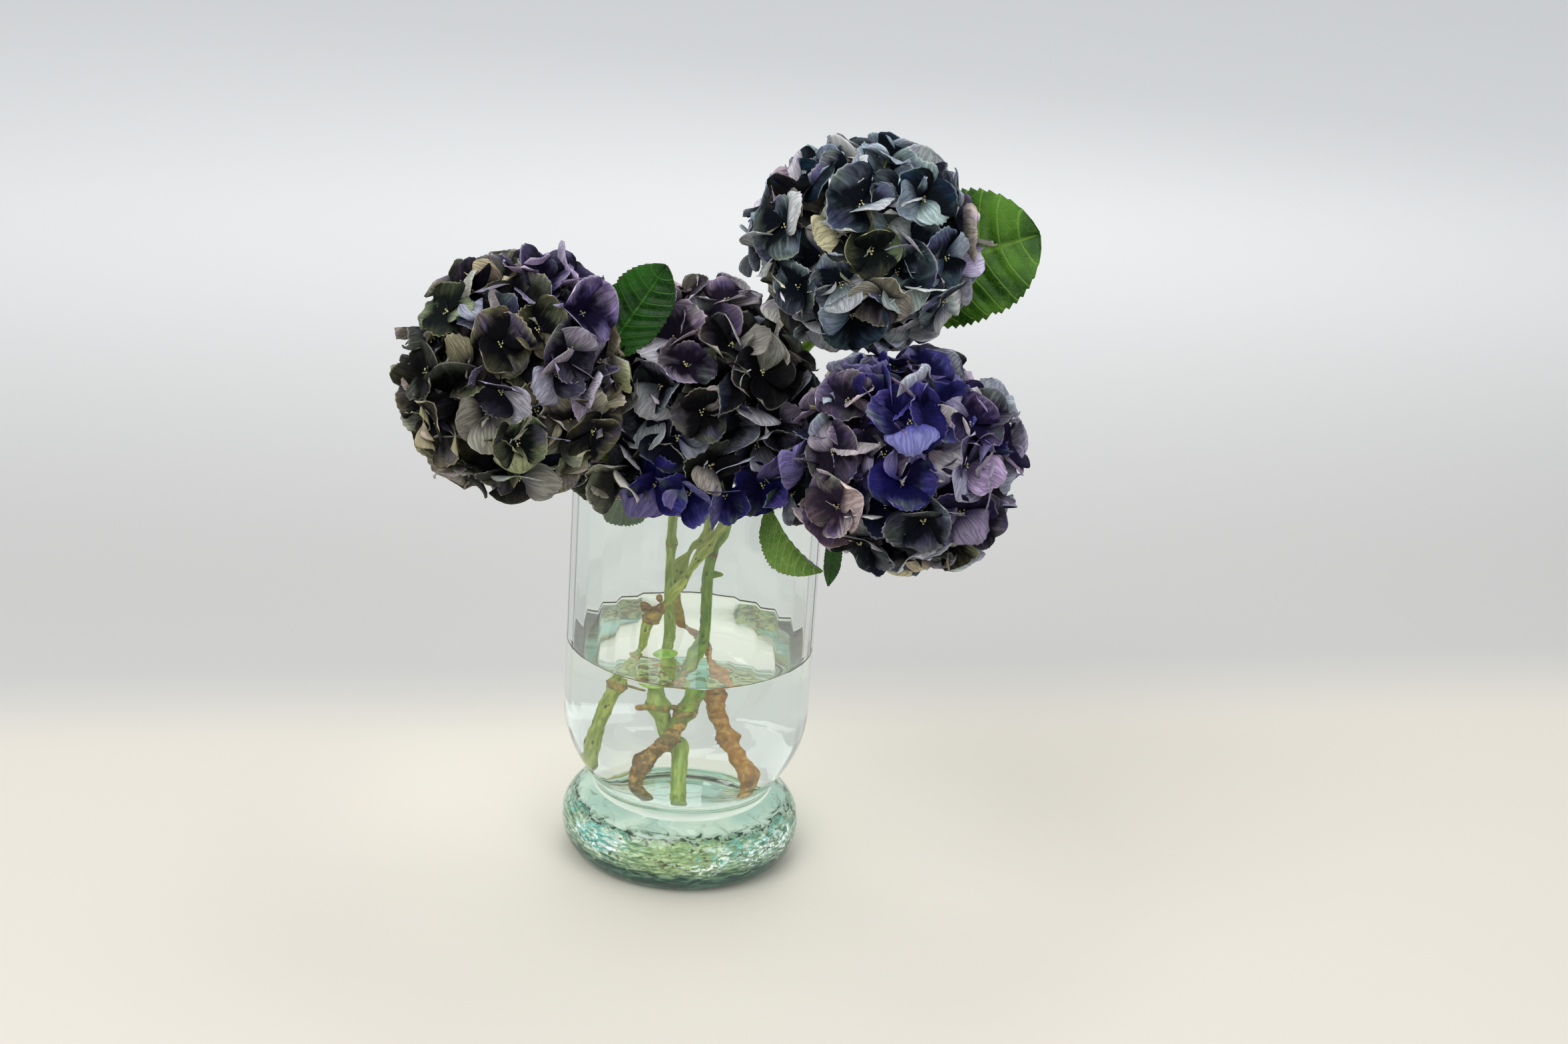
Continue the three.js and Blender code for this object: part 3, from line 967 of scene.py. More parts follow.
    def build_shade_core(self, finish: Material) -> None:
        """Makes the near-black heart, painted shade that shows only in the gaps between the florets."""
        shape = Shape()
        made = bmesh.ops.create_icosphere(shape.bm, subdivisions=4, radius=1)["verts"]
        for vert in made:
            way = vert.co.normalized()
            swell = 1 + 0.18 * noise.noise(way * 5 + Vector((self.seed, 0, 0)))
            vert.co = self.centre + way * self.reach(way) * self.core_share * swell
        shape.smooth(made, 0)
        shape.piece(f"heart_{self.name}", f"bloom_{self.name}", "stem", [finish])


# ---------------------------------------------------------------- stems
@dataclass(frozen=True)
class StemFinish:
    """A woody green stem: streaks, corky dots, brown scars, and a brown stretch under the water.

    Args:
        name: the material's name.
        green: its main colour.
        pale: the lighter colour of its streaks.
        brown: the colour of its brown stretch.
        brown_from: the height where the brown stretch begins, going down, in metres.
        brown_to: the height where it is brown all over, in metres.
        dots: how strong its corky dots are.
        scars: its brown rings, each a height and half its length, in metres.
    """

    name: str
    green: str
    pale: str
    brown: str
    brown_from: float
    brown_to: float
    dots: float = 0.8
    scars: tuple[tuple[float, float], ...] = ()

    def make(self) -> Material:
        """Returns the material."""
        f = Finish(self.name)
        places = f.places()
        _, _, height = f.axes(places)
        across, along = f.pattern()
        patches = f.noise(places, 60, 4)
        streaks = f.noise(f.vector(across * 9, along * 26), 1, 3)
        dots = f.cells(f.vector(across * 7, along * 46), 1.0).step(0.3, 0.12) * patches.step(0.36, 0.5)
        tint = f.blend(streaks.step(0.35, 0.7), self.green, self.pale)
        tint = f.blend(dots * self.dots, tint, "#2b2a17")
        flecks = f.noise(places, 260, 3)
        bark = f.blend(flecks.step(0.4, 0.7), self.brown, "#d8a650")
        bark = f.blend(patches.step(0.5, 0.64) * 0.7, bark, "#5a3f1c")
        aged = (height + (patches - 0.5) * 0.05).step(self.brown_from, self.brown_to)
        for middle, half in self.scars:
            ring = abs(height + (streaks - 0.5) * half - middle).step(half, half * 0.6)
            aged = aged.most(ring * 0.85)
        tint = f.blend(aged, tint, bark)
        raised = streaks * 0.5 + dots * 0.8 + patches * 0.8 + aged * flecks * 1.5
        shader = f.principled(Base_Color=tint, Roughness=0.5, Normal=f.bump(raised, 0.5 * MM, 0.8))
        return f.close(shader)


@dataclass
class Stem:
    """A cut stem that runs from the vase floor up into its flower head.

    Args:
        name: the flower head that it carries.
        route: where it runs, in millimetres.
        radius: its thickness, in millimetres.
        nodes: its swollen nodes, each a place and a radius in millimetres.
        finish: its surface.
        stubs: side shoots, each a start, an end, a radius and the radius of the bud on it, in millimetres.
        collars: ragged rings of old scales, each a place, a radius and how far it flares, in millimetres.
        bracts: small green scale leaves, each a middle and half its length, in millimetres.
        soaked: how many times as thick it is under the water, where it has swollen.
    """

    name: str
    route: list[Spot]
    radius: float
    nodes: list[tuple[Spot, float]]
    finish: StemFinish
    stubs: list[tuple]
    collars: list[tuple]
    soaked: float
    bracts: list[tuple] = field(default_factory=list)

    sides: int = 20
    row_length: float = 1.7 * MM
    node_length: float = 5.5 * MM
    dry_from: float = 150 * MM
    soaked_from: float = 120 * MM
    collar_reach: float = 2.2
    bract_across: Spot = (0, 4.5, 4.5)
    bract_thickness: float = 1.1 * MM

    def girth(self, along: float, angle: float, middle: Vector) -> float:
        """The stem's radius, swollen at its nodes with two scars on each, and a little uneven.

        Args:
            along: how far along the stem, from 0 to 1.
            angle: the angle round it.
            middle: the place of its middle line.
        Returns:
            The radius, in metres.
        """
        radius = self.radius
        for place, size in self.nodes:
            near = hill((middle - mm(*place)).length, 0, self.node_length)
            scars = abs(math.cos(angle + size)) ** 6
            radius += (size - self.radius) * near * mix(0.75, 1.5, scars)
        around = polar(angle) * 0.8
        uneven = noise.noise(middle * 190 + around) + 0.6 * noise.noise(middle * 520 + around * 1.6)
        knobbly = mix(1, 2.2, ease(self.finish.brown_from, self.finish.brown_to, middle.z))
        ribs = 0.03 * math.cos(6 * angle)
        soaked = mix(1, self.soaked, ease(self.dry_from, self.soaked_from, middle.z))
        return radius * soaked * (1 + 0.13 * uneven * knobbly + ribs) * MM

    def add_collar(self, shape: Shape, places: list[Vector], collar: tuple) -> None:
        """Adds one ragged ring round the stem.

        Args:
            shape: the mesh that it goes into.
            places: places along the stem's middle line.
            collar: the ring's place, radius and flare, in millimetres.
        """
        spot, radius, flare = collar
        nearest = min(range(1, len(places) - 1), key=lambda i: (places[i] - mm(*spot)).length)
        way = (places[nearest + 1] - places[nearest - 1]).normalized() * self.collar_reach * MM
        middle = places[nearest]

        def ragged(along: float, angle: float, centre: Vector) -> float:
            """The ring's radius, in metres."""
            ring = Vector((math.cos(angle), math.sin(angle), along * 0.4))
            tatter = noise.noise(ring * 2.3 + middle * 100)
            return (radius + flare * hill(along, 0.5, 0.28) * (0.75 + 1.3 * tatter)) * MM

        shape.tube(Path([middle - way, middle, middle + way], 8), 22, 10, ragged, slot=1)

    def build(self) -> None:
        """Makes the stem, with its shoots, buds, collars and bracts, as one piece."""
        shape = Shape()
        path = Path([mm(*point) for point in self.route])
        places = path.places(120)
        length = sum((b - a).length for a, b in zip(places, places[1:]))
        shape.tube(path, self.sides, round(length / self.row_length), self.girth)
        for start, end, radius, bud in self.stubs:
            base, tip = mm(*start), mm(*end)
            way = tip - base
            shape.tube(Path([base, base + way * 0.5, tip], 6), 10, 8,
                       lambda along, angle, middle: radius * mix(1.25, 0.95, along) * MM)
            shape.ball(tip, bud * 0.85 * MM, 3, way.normalized() * bud * 1.25 * MM, int(bud > radius))
        for collar in self.collars:
            self.add_collar(shape, places, collar)
        for middle, half in self.bracts:
            shape.flake(mm(*middle), mm(*half), mm(*self.bract_across), self.bract_thickness, slot=2)
        scales = PlainFinish(f"scales {self.name}", "#5f4420", "#b98f4c", 420).make()
        bract = PlainFinish(f"bract {self.name}", "#86c22a", "#c3ea6a", 200).make()
        finishes = [self.finish.make(), scales, bract]
        shape.piece(f"stem_wood_{self.name}", f"stem_{self.name}", "stem", finishes)


# ---------------------------------------------------------------- leaves
# A side vein's run forward: how much of it is curved, and where along the leaf there would be none.
VEIN_CURVE = 0.55
VEIN_END = 1.15


@dataclass(frozen=True)
class LeafFinish:
    """A toothed leaf's surface, with a pale net of veins.

    Args:
        name: the material's name.
        deep: the colour between the veins.
        bright: the lighter colour of its patches.
        vein: the veins' colour.
        pairs: how many pairs of side veins it has.
        sweep: how far the side veins run forward on their way to the edge, most of all near the stalk.
        scorch: how brown its tip and teeth are.
    """

    name: str
    deep: str
    bright: str
    vein: str
    pairs: float
    sweep: float
    scorch: float = 0.3

    def make(self) -> Material:
        """Returns the material."""
        f = Finish(self.name)
        across, along = f.pattern()
        side = abs(across * 2 - 1)
        places = f.places()
        patches = f.noise(places, 45, 4)
        forward = (side * (1 - VEIN_CURVE) + side * side * VEIN_CURVE) * (VEIN_END - along) * self.sweep
        row = along * self.pairs - forward + (patches - 0.5) * 0.15
        nearest = abs(row.math("FRACT") - 0.5)
        side_veins = nearest.step(0.42, 0.49)
        midrib = side.step(0.07, 0.0)
        net = f.cells(places, 210.0, "DISTANCE_TO_EDGE").step(0.07, 0.0)
        veins = side_veins.most(midrib)
        tint = f.blend(patches.step(0.35, 0.68), self.deep, self.bright)
        tint = f.blend(net * 0.22, tint, self.vein)
        tint = f.blend(veins * 0.6, tint, self.vein)
        burnt_tip = (along + (patches - 0.5) * 0.25).step(0.97, 1.03)
        burnt = burnt_tip.most((side + patches * 0.2).step(1.06, 1.12))
        tint = f.blend(burnt * self.scorch, tint, "#4a3a1c")
        raised = veins * -0.7 + net * -0.35 + patches * 0.3
        shader = f.principled(Base_Color=tint, Roughness=0.42, Specular_IOR_Level=0.25,
                              Normal=f.bump(raised, 0.6 * MM, 0.8))
        return f.close(shader)


@dataclass
class Leaf:
    """A toothed, quilted leaf on its stalk.

    Args:
        name: which leaf it is.
        root: where its stalk leaves the stem, in millimetres.
        base: where its blade begins, in millimetres.
        tip: where its blade ends, in millimetres.
        face: the way its upper side looks.
        half_width: half its width, in millimetres.
        fold: how far its halves fold up, in radians.
        bow: how far its middle bows out, in millimetres.
        finishes: its upper and under side.
        blunt: how far its tip is drawn out, from 0.6 for a blunt one to 1 for a pointed one.
    """

    name: str
    root: Spot
    base: Spot
    tip: Spot
    face: Spot
    half_width: float
    fold: float
    bow: float
    finishes: tuple[LeafFinish, LeafFinish]
    blunt: float = 0.6

    columns: int = 32
    rows: int = 66
    rows_per_tooth: int = 3
    teeth: float = 0.085
    widest: float = 0.55
    least_outline: float = 0.02
    thickness: float = 0.7 * MM
    full_relief: float = 45

    def outline(self, along: float) -> float:
        """The blade's width at a share of its length, as a share of its greatest width."""
        if along > self.widest:
            share = (1 - ((along - self.widest) / (1 - self.widest)) ** 2.6) ** self.blunt
        else:
            share = (1 - ((self.widest - along) / self.widest) ** 2.2) ** 0.8
        return max(share, self.least_outline)

    def relief(self, side: float, along: float) -> float:
        """How far the blade's quilting, gutter and ripple stand out.

        Args:
            side: how far from the midrib, from -1 to 1.
            along: how far from base to tip, from 0 to 1.
        Returns:
            The height, in millimetres.
        """
        upper, off = self.finishes[0], abs(side)
        forward = ((1 - VEIN_CURVE) * off + VEIN_CURVE * side * side) * (VEIN_END - along) * upper.sweep
        row = along * upper.pairs - forward
        quilt = abs(math.sin(math.pi * (row + 0.5))) ** 0.7 * (1 - side**4) * math.sin(math.pi * along)
        gutter = hill(side, 0, 0.09)
        ripple = math.sin(along * 17 + side * 2) * off**3
        return (3.3 * quilt - 1.8 * gutter + 1.5 * ripple) * self.half_width / self.full_relief

    def build(self) -> None:
        """Makes the blade as one piece and its stalk as another."""
        base, tip = mm(*self.base), mm(*self.tip)
        along_way = (tip - base).normalized()
        across_way = Vector(self.face).cross(along_way).normalized()
        normal = along_way.cross(across_way).normalized()
        length = (tip - base).length

        def place(across: float, along: float) -> Vector:
            """A point of the blade, in metres."""
            side = 1 - 2 * across
            tooth = 1 - self.teeth * (along * self.rows / self.rows_per_tooth % 1) * ease(0.8, 1, abs(side))
            width = self.half_width * self.outline(along) * tooth * MM
            lift = abs(side) * width * math.tan(self.fold) + self.bow * math.sin(math.pi * along) * MM
            height = lift + self.relief(side, along) * MM
            return base + along_way * (length * along) + across_way * (side * width) + normal * height

        blade = Shape()
        blade.sheet(self.columns, self.rows, place)
        finishes = [finish.make() for finish in self.finishes]
        piece = blade.piece(f"leaf_blade_{self.name}", f"leaf_{self.name}", "leaf", finishes)
        thicken(piece, self.thickness, 1)
        stalk = Shape()
        inside = base + along_way * length * 0.12 + normal * (self.bow * 0.35 - 1) * MM
        path = Path([mm(*self.root), base - normal * MM, inside], 10)
        stalk.tube(path, 10, 16, lambda along, angle, middle: mix(1.7, 0.9, along) * MM)
        finish = PlainFinish(f"petiole {self.name}", "#56702c", "#8ba65a").make()
        stalk.piece(f"leaf_stalk_{self.name}", f"leaf_{self.name}", "stem", [finish])


# ---------------------------------------------------------------- vase and water
@dataclass(frozen=True)
class GlassFinish:
    """Clear glass or water.

    Args:
        name: the material's name.
        tint: its faint colour.
        bending: its index of refraction.
        ripple: how uneven its surface is, in metres.
    """

    name: str
    tint: str
    bending: float
    ripple: float = 0.0

    def make(self) -> Material:
        """Returns the material."""
        f = Finish(self.name)
        rippled = {}
        if self.ripple:
            rippled["Normal"] = f.bump(f.noise(f.places(), 28, 1), self.ripple)
        glass = f.principled(Base_Color=self.tint, Roughness=0.0, IOR=self.bending, Transmission_Weight=1.0,
                             **rippled)
        return f.close(f.let_lamps_through(glass, self.tint))


@dataclass(frozen=True)
class FootFinish:
    """The crackled heart of the foot, seen through its clear skin, with painted glints, painted sparkle, a
    weak painted glow and painted light on the front of its top.
    """

    name: str = "crackled foot"

    def make(self) -> Material:
        """Returns the material."""
        f = Finish(self.name)
        places = f.places()
        x, y, height = f.axes(places)
        radius = (x * x + y * y).math("SQRT") * 1000
        height = height * 1000
        round_it = f.vector(x * 75, y * 75, height * 0.24)
        streak = f.noise(round_it, 1, 4, 1.0)
        fine = f.noise(f.vector(x * 210, y * 210, height * 0.5), 1, 3, 0.6)
        patch = f.noise(f.vector(x, y, height * 0.0011), 24, 2)
        blots = f.noise(f.vector(x * 80, y * 80, height * 0.11), 1, 3, 1.2)
        olive = f.noise(places, 170, 3, 0.8) * 0.6 + streak * 0.4
        uneven = height + (streak - 0.5) * 14
        body = f.blend(streak.step(0.36, 0.62), "#6c9f80", "#d6edc8")
        body = f.blend(abs(x * 18 - 0.1).step(1, 0.2) * 0.6, body, "#bcd184")
        body = f.blend(fine.step(0.52, 0.4) * 0.45, body, "#416f5a")
        body = f.blend(olive.step(0.55, 0.6) * uneven.step(20, 26) * 0.85, body, "#4c5430")
        hatched = fine.step(0.5, 0.6) * patch.step(0.46, 0.53) * uneven.step(26, 32) * uneven.step(47, 41)
        body = f.blend(hatched * 0.9, body, "#274531")
        # Bright cyan-white patches: the crackle's own lustre, smoother and partly metallic, with painted
        # sparkle in their near-white colour.
        lustre_and_sparkle = (fine * 0.5 + patch * 0.5).step(0.52, 0.57) * uneven.step(19, 26) * uneven.step(42, 35)
        body = f.blend(lustre_and_sparkle, body, f.blend(streak.step(0.42, 0.6), "#80c8bd", "#eefaf2"))
        # Painted glints: short pure white strokes that stand for light glittering off the crackle.
        painted_glint = blots.ridge(16) * fine.step(0.46, 0.54) * patch.step(0.53, 0.61)
        painted_glint = painted_glint * uneven.step(13, 17) * uneven.step(36, 30)
        body = f.blend(painted_glint, body, "#ffffff")
        body = f.blend(uneven.step(23, 13), body, f.blend(streak.step(0.45, 0.6), "#235246", "#4f8470"))
        body = f.blend(uneven.step(38, 43), body, f.blend(patch.step(0.4, 0.6), "#b2cdbf", "#d2e4d3"))
        line = abs(uneven - 40).step(1.6, 0.4) * fine.step(0.46, 0.56)
        body = f.blend(line, body, "#27402f")
        blotch = f.noise(places, 110, 2)
        back = f.blend(blotch.step(0.42, 0.5), "#66742a", "#b3bd78")
        back = f.blend(blotch.step(0.55, 0.6), back, "#8a6534")
        back = f.blend(fine.step(0.55, 0.62) * 0.8, back, "#2f3f33")
        pool = f.blend(blotch.step(0.54, 0.6) * 0.8, "#9cc7b4", "#6c7a3c")
        back = f.blend(abs(x).step(0.016, 0.01), back, pool)
        # Painted light: the front of the heart's top is near-white for the bright floor seen through the
        # neck; its back keeps the olive mottling.
        inner = f.blend(y.step(0.0, 0.01), "#f4faf0", back)
        body = f.blend(height.step(44.6, 45.4) * radius.step(58, 55), body, inner)
        body = f.blend(y.step(0.004, 0.014) * uneven.step(38, 43) * radius.step(70, 66), body, back)
        raised = f.cells(round_it, 1.6) * 1.4 + fine + streak * 0.8
        raised = raised * (1 - uneven.step(38, 44))
        # Painted glow: the heart gives off a weak light of its own, strongest at the painted sparkle and
        # glints.
        painted_glow = f.blend(lustre_and_sparkle * 0.1 + painted_glint * 0.5 + 0.1, "#000000", body)
        shader = f.principled(Base_Color=body, Metallic=lustre_and_sparkle * 0.5, Roughness=0.4 - lustre_and_sparkle * 0.2,
                              Emission_Color=painted_glow, Emission_Strength=1.0, Normal=f.bump(raised, 1.8 * MM))
        return f.close(shader)


@dataclass
class Vase:
    """The footed vase: a thick blown body with upright flutes inside, on a solid round foot.

    Sizes are in millimetres, measured on the vase's own circles.
    """

    body_radius: float = 85
    rim_height: float = 286
    rim_round: float = 3
    wall: float = 4.5
    stand_radius: float = 64
    foot_radius: float = 83
    foot_middle: float = 24
    neck_radius: float = 62.5
    neck_height: float = 52
    bowl_top: float = 112
    floor_radius: float = 34
    floor_height: float = 57
    flutes: int = 32
    flatness: float = 0.55
    water_level: float = 158
    meniscus: tuple[tuple[float, float], ...] = ((0, 1.6), (0.5, 0.9), (1.6, 0.3), (3.5, 0))
    steps: int = 256
    foot_steps: int = 160
    skin: float = 1.6
    core_top: float = 46
    core_inset: float = 16
    core_dent: float = 1.4
    core_flat: float = 20
    overlap: float = 0.2
    inner_margin: float = 0.6

    def upright(self, radius: float, top: float, steps: int) -> list[Vector]:
        """Points up a straight wall from the top of the bowl, without the first."""
        return [profile(radius, mix(self.bowl_top, top, i / steps)) for i in range(1, steps + 1)]

    def outside(self) -> list[Vector]:
        """The outline of the vase's outer side, from the middle of its underside to its rim."""
        foot, neck, body = self.foot_radius, self.neck_radius, self.body_radius
        stand = profile(self.stand_radius, 0)
        edge = profile(foot, self.foot_middle)
        waist = profile(neck, self.neck_height)
        shoulder = profile(body, self.bowl_top)
        points = [profile(0, 0), profile(self.stand_radius * 0.5, 0), stand]
        points += bezier(stand, profile(75, 0), profile(foot, 9), edge, 14)
        points += bezier(edge, profile(foot, 39), profile(70, 44), waist, 14)
        points += bezier(waist, profile(neck + 1, 62), profile(body - 1, 76), shoulder, 20)
        return points + self.upright(body, self.rim_height - self.rim_round, 12)

    def rim(self) -> list[Vector]:
        """The rounded rim, from the outer side to the inner one."""
        outer, inner = self.body_radius, self.body_radius - self.wall
        low, high = self.rim_height - self.rim_round, self.rim_height + 1
        start, end = profile(outer, low), profile(inner, low)
        return bezier(start, profile(outer, high), profile(inner, high), end, 10)

    def inside(self) -> list[Vector]:
        """The outline of the bowl's inner side, from its floor's middle up to the top of the bowl."""
        radius, floor = self.body_radius - self.wall, self.floor_height
        edge, top = profile(self.floor_radius, floor), profile(radius, self.bowl_top)
        points = [profile(0, floor), profile(self.floor_radius * 0.5, floor), edge]
        return points + bezier(edge, profile(62, floor), profile(radius - 1, 82), top, 22)

    def flute(self, point: Vector, grow: float = 0.0) -> Vector:
        """Moves a point of the inner wall onto the flutes.

        Args:
            point: the point, in millimetres.
            grow: how far outwards it goes as well.
        Returns:
            The moved point.
        """
        angle = math.atan2(point.y, point.x)
        radius = math.hypot(point.x, point.y)
        fade = ease(40, 78, radius) * ease(self.rim_height + 4, self.rim_height - 18, point.z)
        part = FULL_TURN / self.flutes
        panel = math.cos(part / 2) / math.cos(angle % part - part / 2) - 1
        wanted = radius * (1 + panel * self.flatness * fade) + grow * fade
        return Vector((wanted * math.cos(angle), wanted * math.sin(angle), point.z))

    def inner_radius(self, height: float) -> float:
        """The bowl's inner radius at a height, before it is fluted."""
        return max((point.x for point in self.inside() if point.z <= height + 0.01), default=-1.0)

    def build_glass(self, finish: Material) -> None:
        """Makes the glass, foot and all, as one closed body."""
        bore, top = self.body_radius - self.wall, self.rim_height - self.rim_round
        inner = self.inside() + self.upright(bore, top, 20)[:-1]

        def move(point: Vector) -> Vector:
            """Moves the points of the inner wall onto the flutes."""
            is_inner = math.hypot(point.x, point.y) < self.inner_radius(point.z) + self.inner_margin
            return self.flute(point) if is_inner else point

        shape = Shape()
        shape.turned(self.outside() + self.rim() + inner[::-1], self.steps, move)
        shape.piece("vase_glass", "vase", "vase_glass", [finish])

    def build_foot(self, finish: Material) -> None:
        """Makes the crackled heart of the foot, just under the foot's clear skin."""
        middle = profile(self.neck_radius - self.core_inset, self.foot_middle)
        outline = [profile(0, self.skin)]
        for point in self.outside()[2:]:
            if point.z < self.core_top - 1:
                outline.append(point - (point - middle).normalized() * self.skin)
        top = self.core_top + 1
        outline += [profile(50, self.core_top), profile(self.floor_radius, top), profile(0, top)]

        def move(point: Vector) -> Vector:
            """Dents the sides a little."""
            dent = noise.noise(point * 0.25) * 0.5 + noise.noise(point * 0.7) * 0.25
            flat = Vector((point.x, point.y, 0))
            if flat.length <= self.core_flat:
                return point
            return point - flat.normalized() * abs(dent) * self.core_dent

        shape = Shape()
        shape.turned(outline, self.foot_steps, move)
        shape.piece("foot_heart", "vase", "vase_glass", [finish])

    def build_water(self, finish: Material) -> None:
        """Makes the water, which reaches a hair's breadth into the glass so that no air is between."""
        level, radius = self.water_level, self.body_radius - self.wall
        outline = [profile(point.x, point.z - self.overlap) for point in self.inside()]
        outline += self.upright(radius, level, 6)
        outline += [profile(radius - inwards, level + climb) for inwards, climb in self.meniscus]
        outline += [profile(radius * 0.5, level), profile(0, level)]
        shape = Shape()
        shape.turned(outline, self.steps, lambda point: self.flute(point, self.overlap))
        shape.piece("water_body", "water", "water", [finish])


# ---------------------------------------------------------------- the studio
@dataclass
class Studio:
    """The plain pale floor, the soft lights and the camera at the photograph's viewing angle."""

    lens: float = 64.2
    distance: float = 1.893
    pitch: float = math.radians(21.75)
    roll: float = math.radians(4.02)
    near: float = 0.05
    target: Vector = field(default_factory=lambda: mm(58.95, 0, 249.4))
    floor_size: float = 20.0
    slant: float = 0.216
    sky: str = "#eef1f4"
    sky_strength: float = 0.68
    lamps: tuple[tuple[str, Spot, float, float], ...] = (
        ("key", (-0.8, -1.2, 1.9), 1.3, 18),
        ("fill", (1.3, -1.4, 1.3), 0.9, 6),
        ("top", (0.1, 0.1, 2.3), 1.4, 13.5),
        ("rear", (0.3, 1.8, 1.3), 1.2, 4),
    )

    def build(self) -> None:
        """Makes the floor, the lights, the sky and the camera."""
        self.build_floor()
        for lamp in self.lamps:
            self.add_light(*lamp)
        world = bpy.data.worlds.new("soft sky")
        world.use_nodes = True
        background = world.node_tree.nodes["Background"]
        background.inputs["Color"].default_value = colour(self.sky)
        background.inputs["Strength"].default_value = self.sky_strength
        bpy.context.scene.world = world
        self.add_camera()
        bpy.context.scene.view_settings.view_transform = "Standard"

    def build_floor(self) -> None:
        """Makes the floor, cream near the vase with a painted pool of light round it, greyer far behind it
        and painted lighter still further off.
        """
        f = Finish("pale floor")
        x, y, _ = f.axes(f.places())
        behind = y - x * self.slant
        # Painted light: a lighter cream pool round the vase stands in for light through the glass and
        # lightens its shadow.
        painted_light_pool = (x * x + y * y).math("SQRT").step(0.32, 0.1)
        tint = f.blend(painted_light_pool, "#e2dcd0", "#f0eadc")
        tint = f.blend(behind.step(0.16, 0.32), tint, "#cbcac7")
        # Painted light: far off, the floor turns near-white to make up for the lamps' fall-off.
        tint = f.blend(behind.step(0.4, 1.8), tint, "#fbfbfb")
        finish = f.close(f.principled(Base_Color=tint, Roughness=0.55, Specular_IOR_Level=0.3))
        mesh = bpy.data.meshes.new("floor")
        bm = bmesh.new()
        bmesh.ops.create_grid(bm, x_segments=1, y_segments=1, size=self.floor_size)
        bm.to_mesh(mesh)
        bm.free()
        mesh.materials.append(finish)
        floor = bpy.data.objects.new("floor", mesh)
        bpy.context.scene.collection.objects.link(floor)

    def add_light(self, name: str, place: Spot, size: float, power: float) -> None:
        """Adds a square soft light that looks at the flowers.

        Args:
            name: its name.
            place: where it stands, in metres.
            size: the length of its side, in metres.
            power: its power, in watts.
        """
        data = bpy.data.lights.new(name, "AREA")
        data.size = size
        data.energy = power
        light = bpy.data.objects.new(name, data)
        light.location = place
        light.rotation_euler = (self.target - Vector(place)).to_track_quat("-Z", "Y").to_euler()
        bpy.context.scene.collection.objects.link(light)

    def add_camera(self) -> None:
        """Adds the camera, tilted down and rolled as it was held."""
        data = bpy.data.cameras.new("camera")
        data.lens = self.lens
        data.clip_start = self.near
        camera = bpy.data.objects.new("camera", data)
        look = Vector((0, math.cos(self.pitch), -math.sin(self.pitch)))
        level = look.to_track_quat("-Z", "Y")
        camera.location = self.target - look * self.distance
        camera.rotation_euler = (Quaternion(look, -self.roll) @ level).to_euler()
        bpy.context.scene.collection.objects.link(camera)
        bpy.context.scene.camera = camera


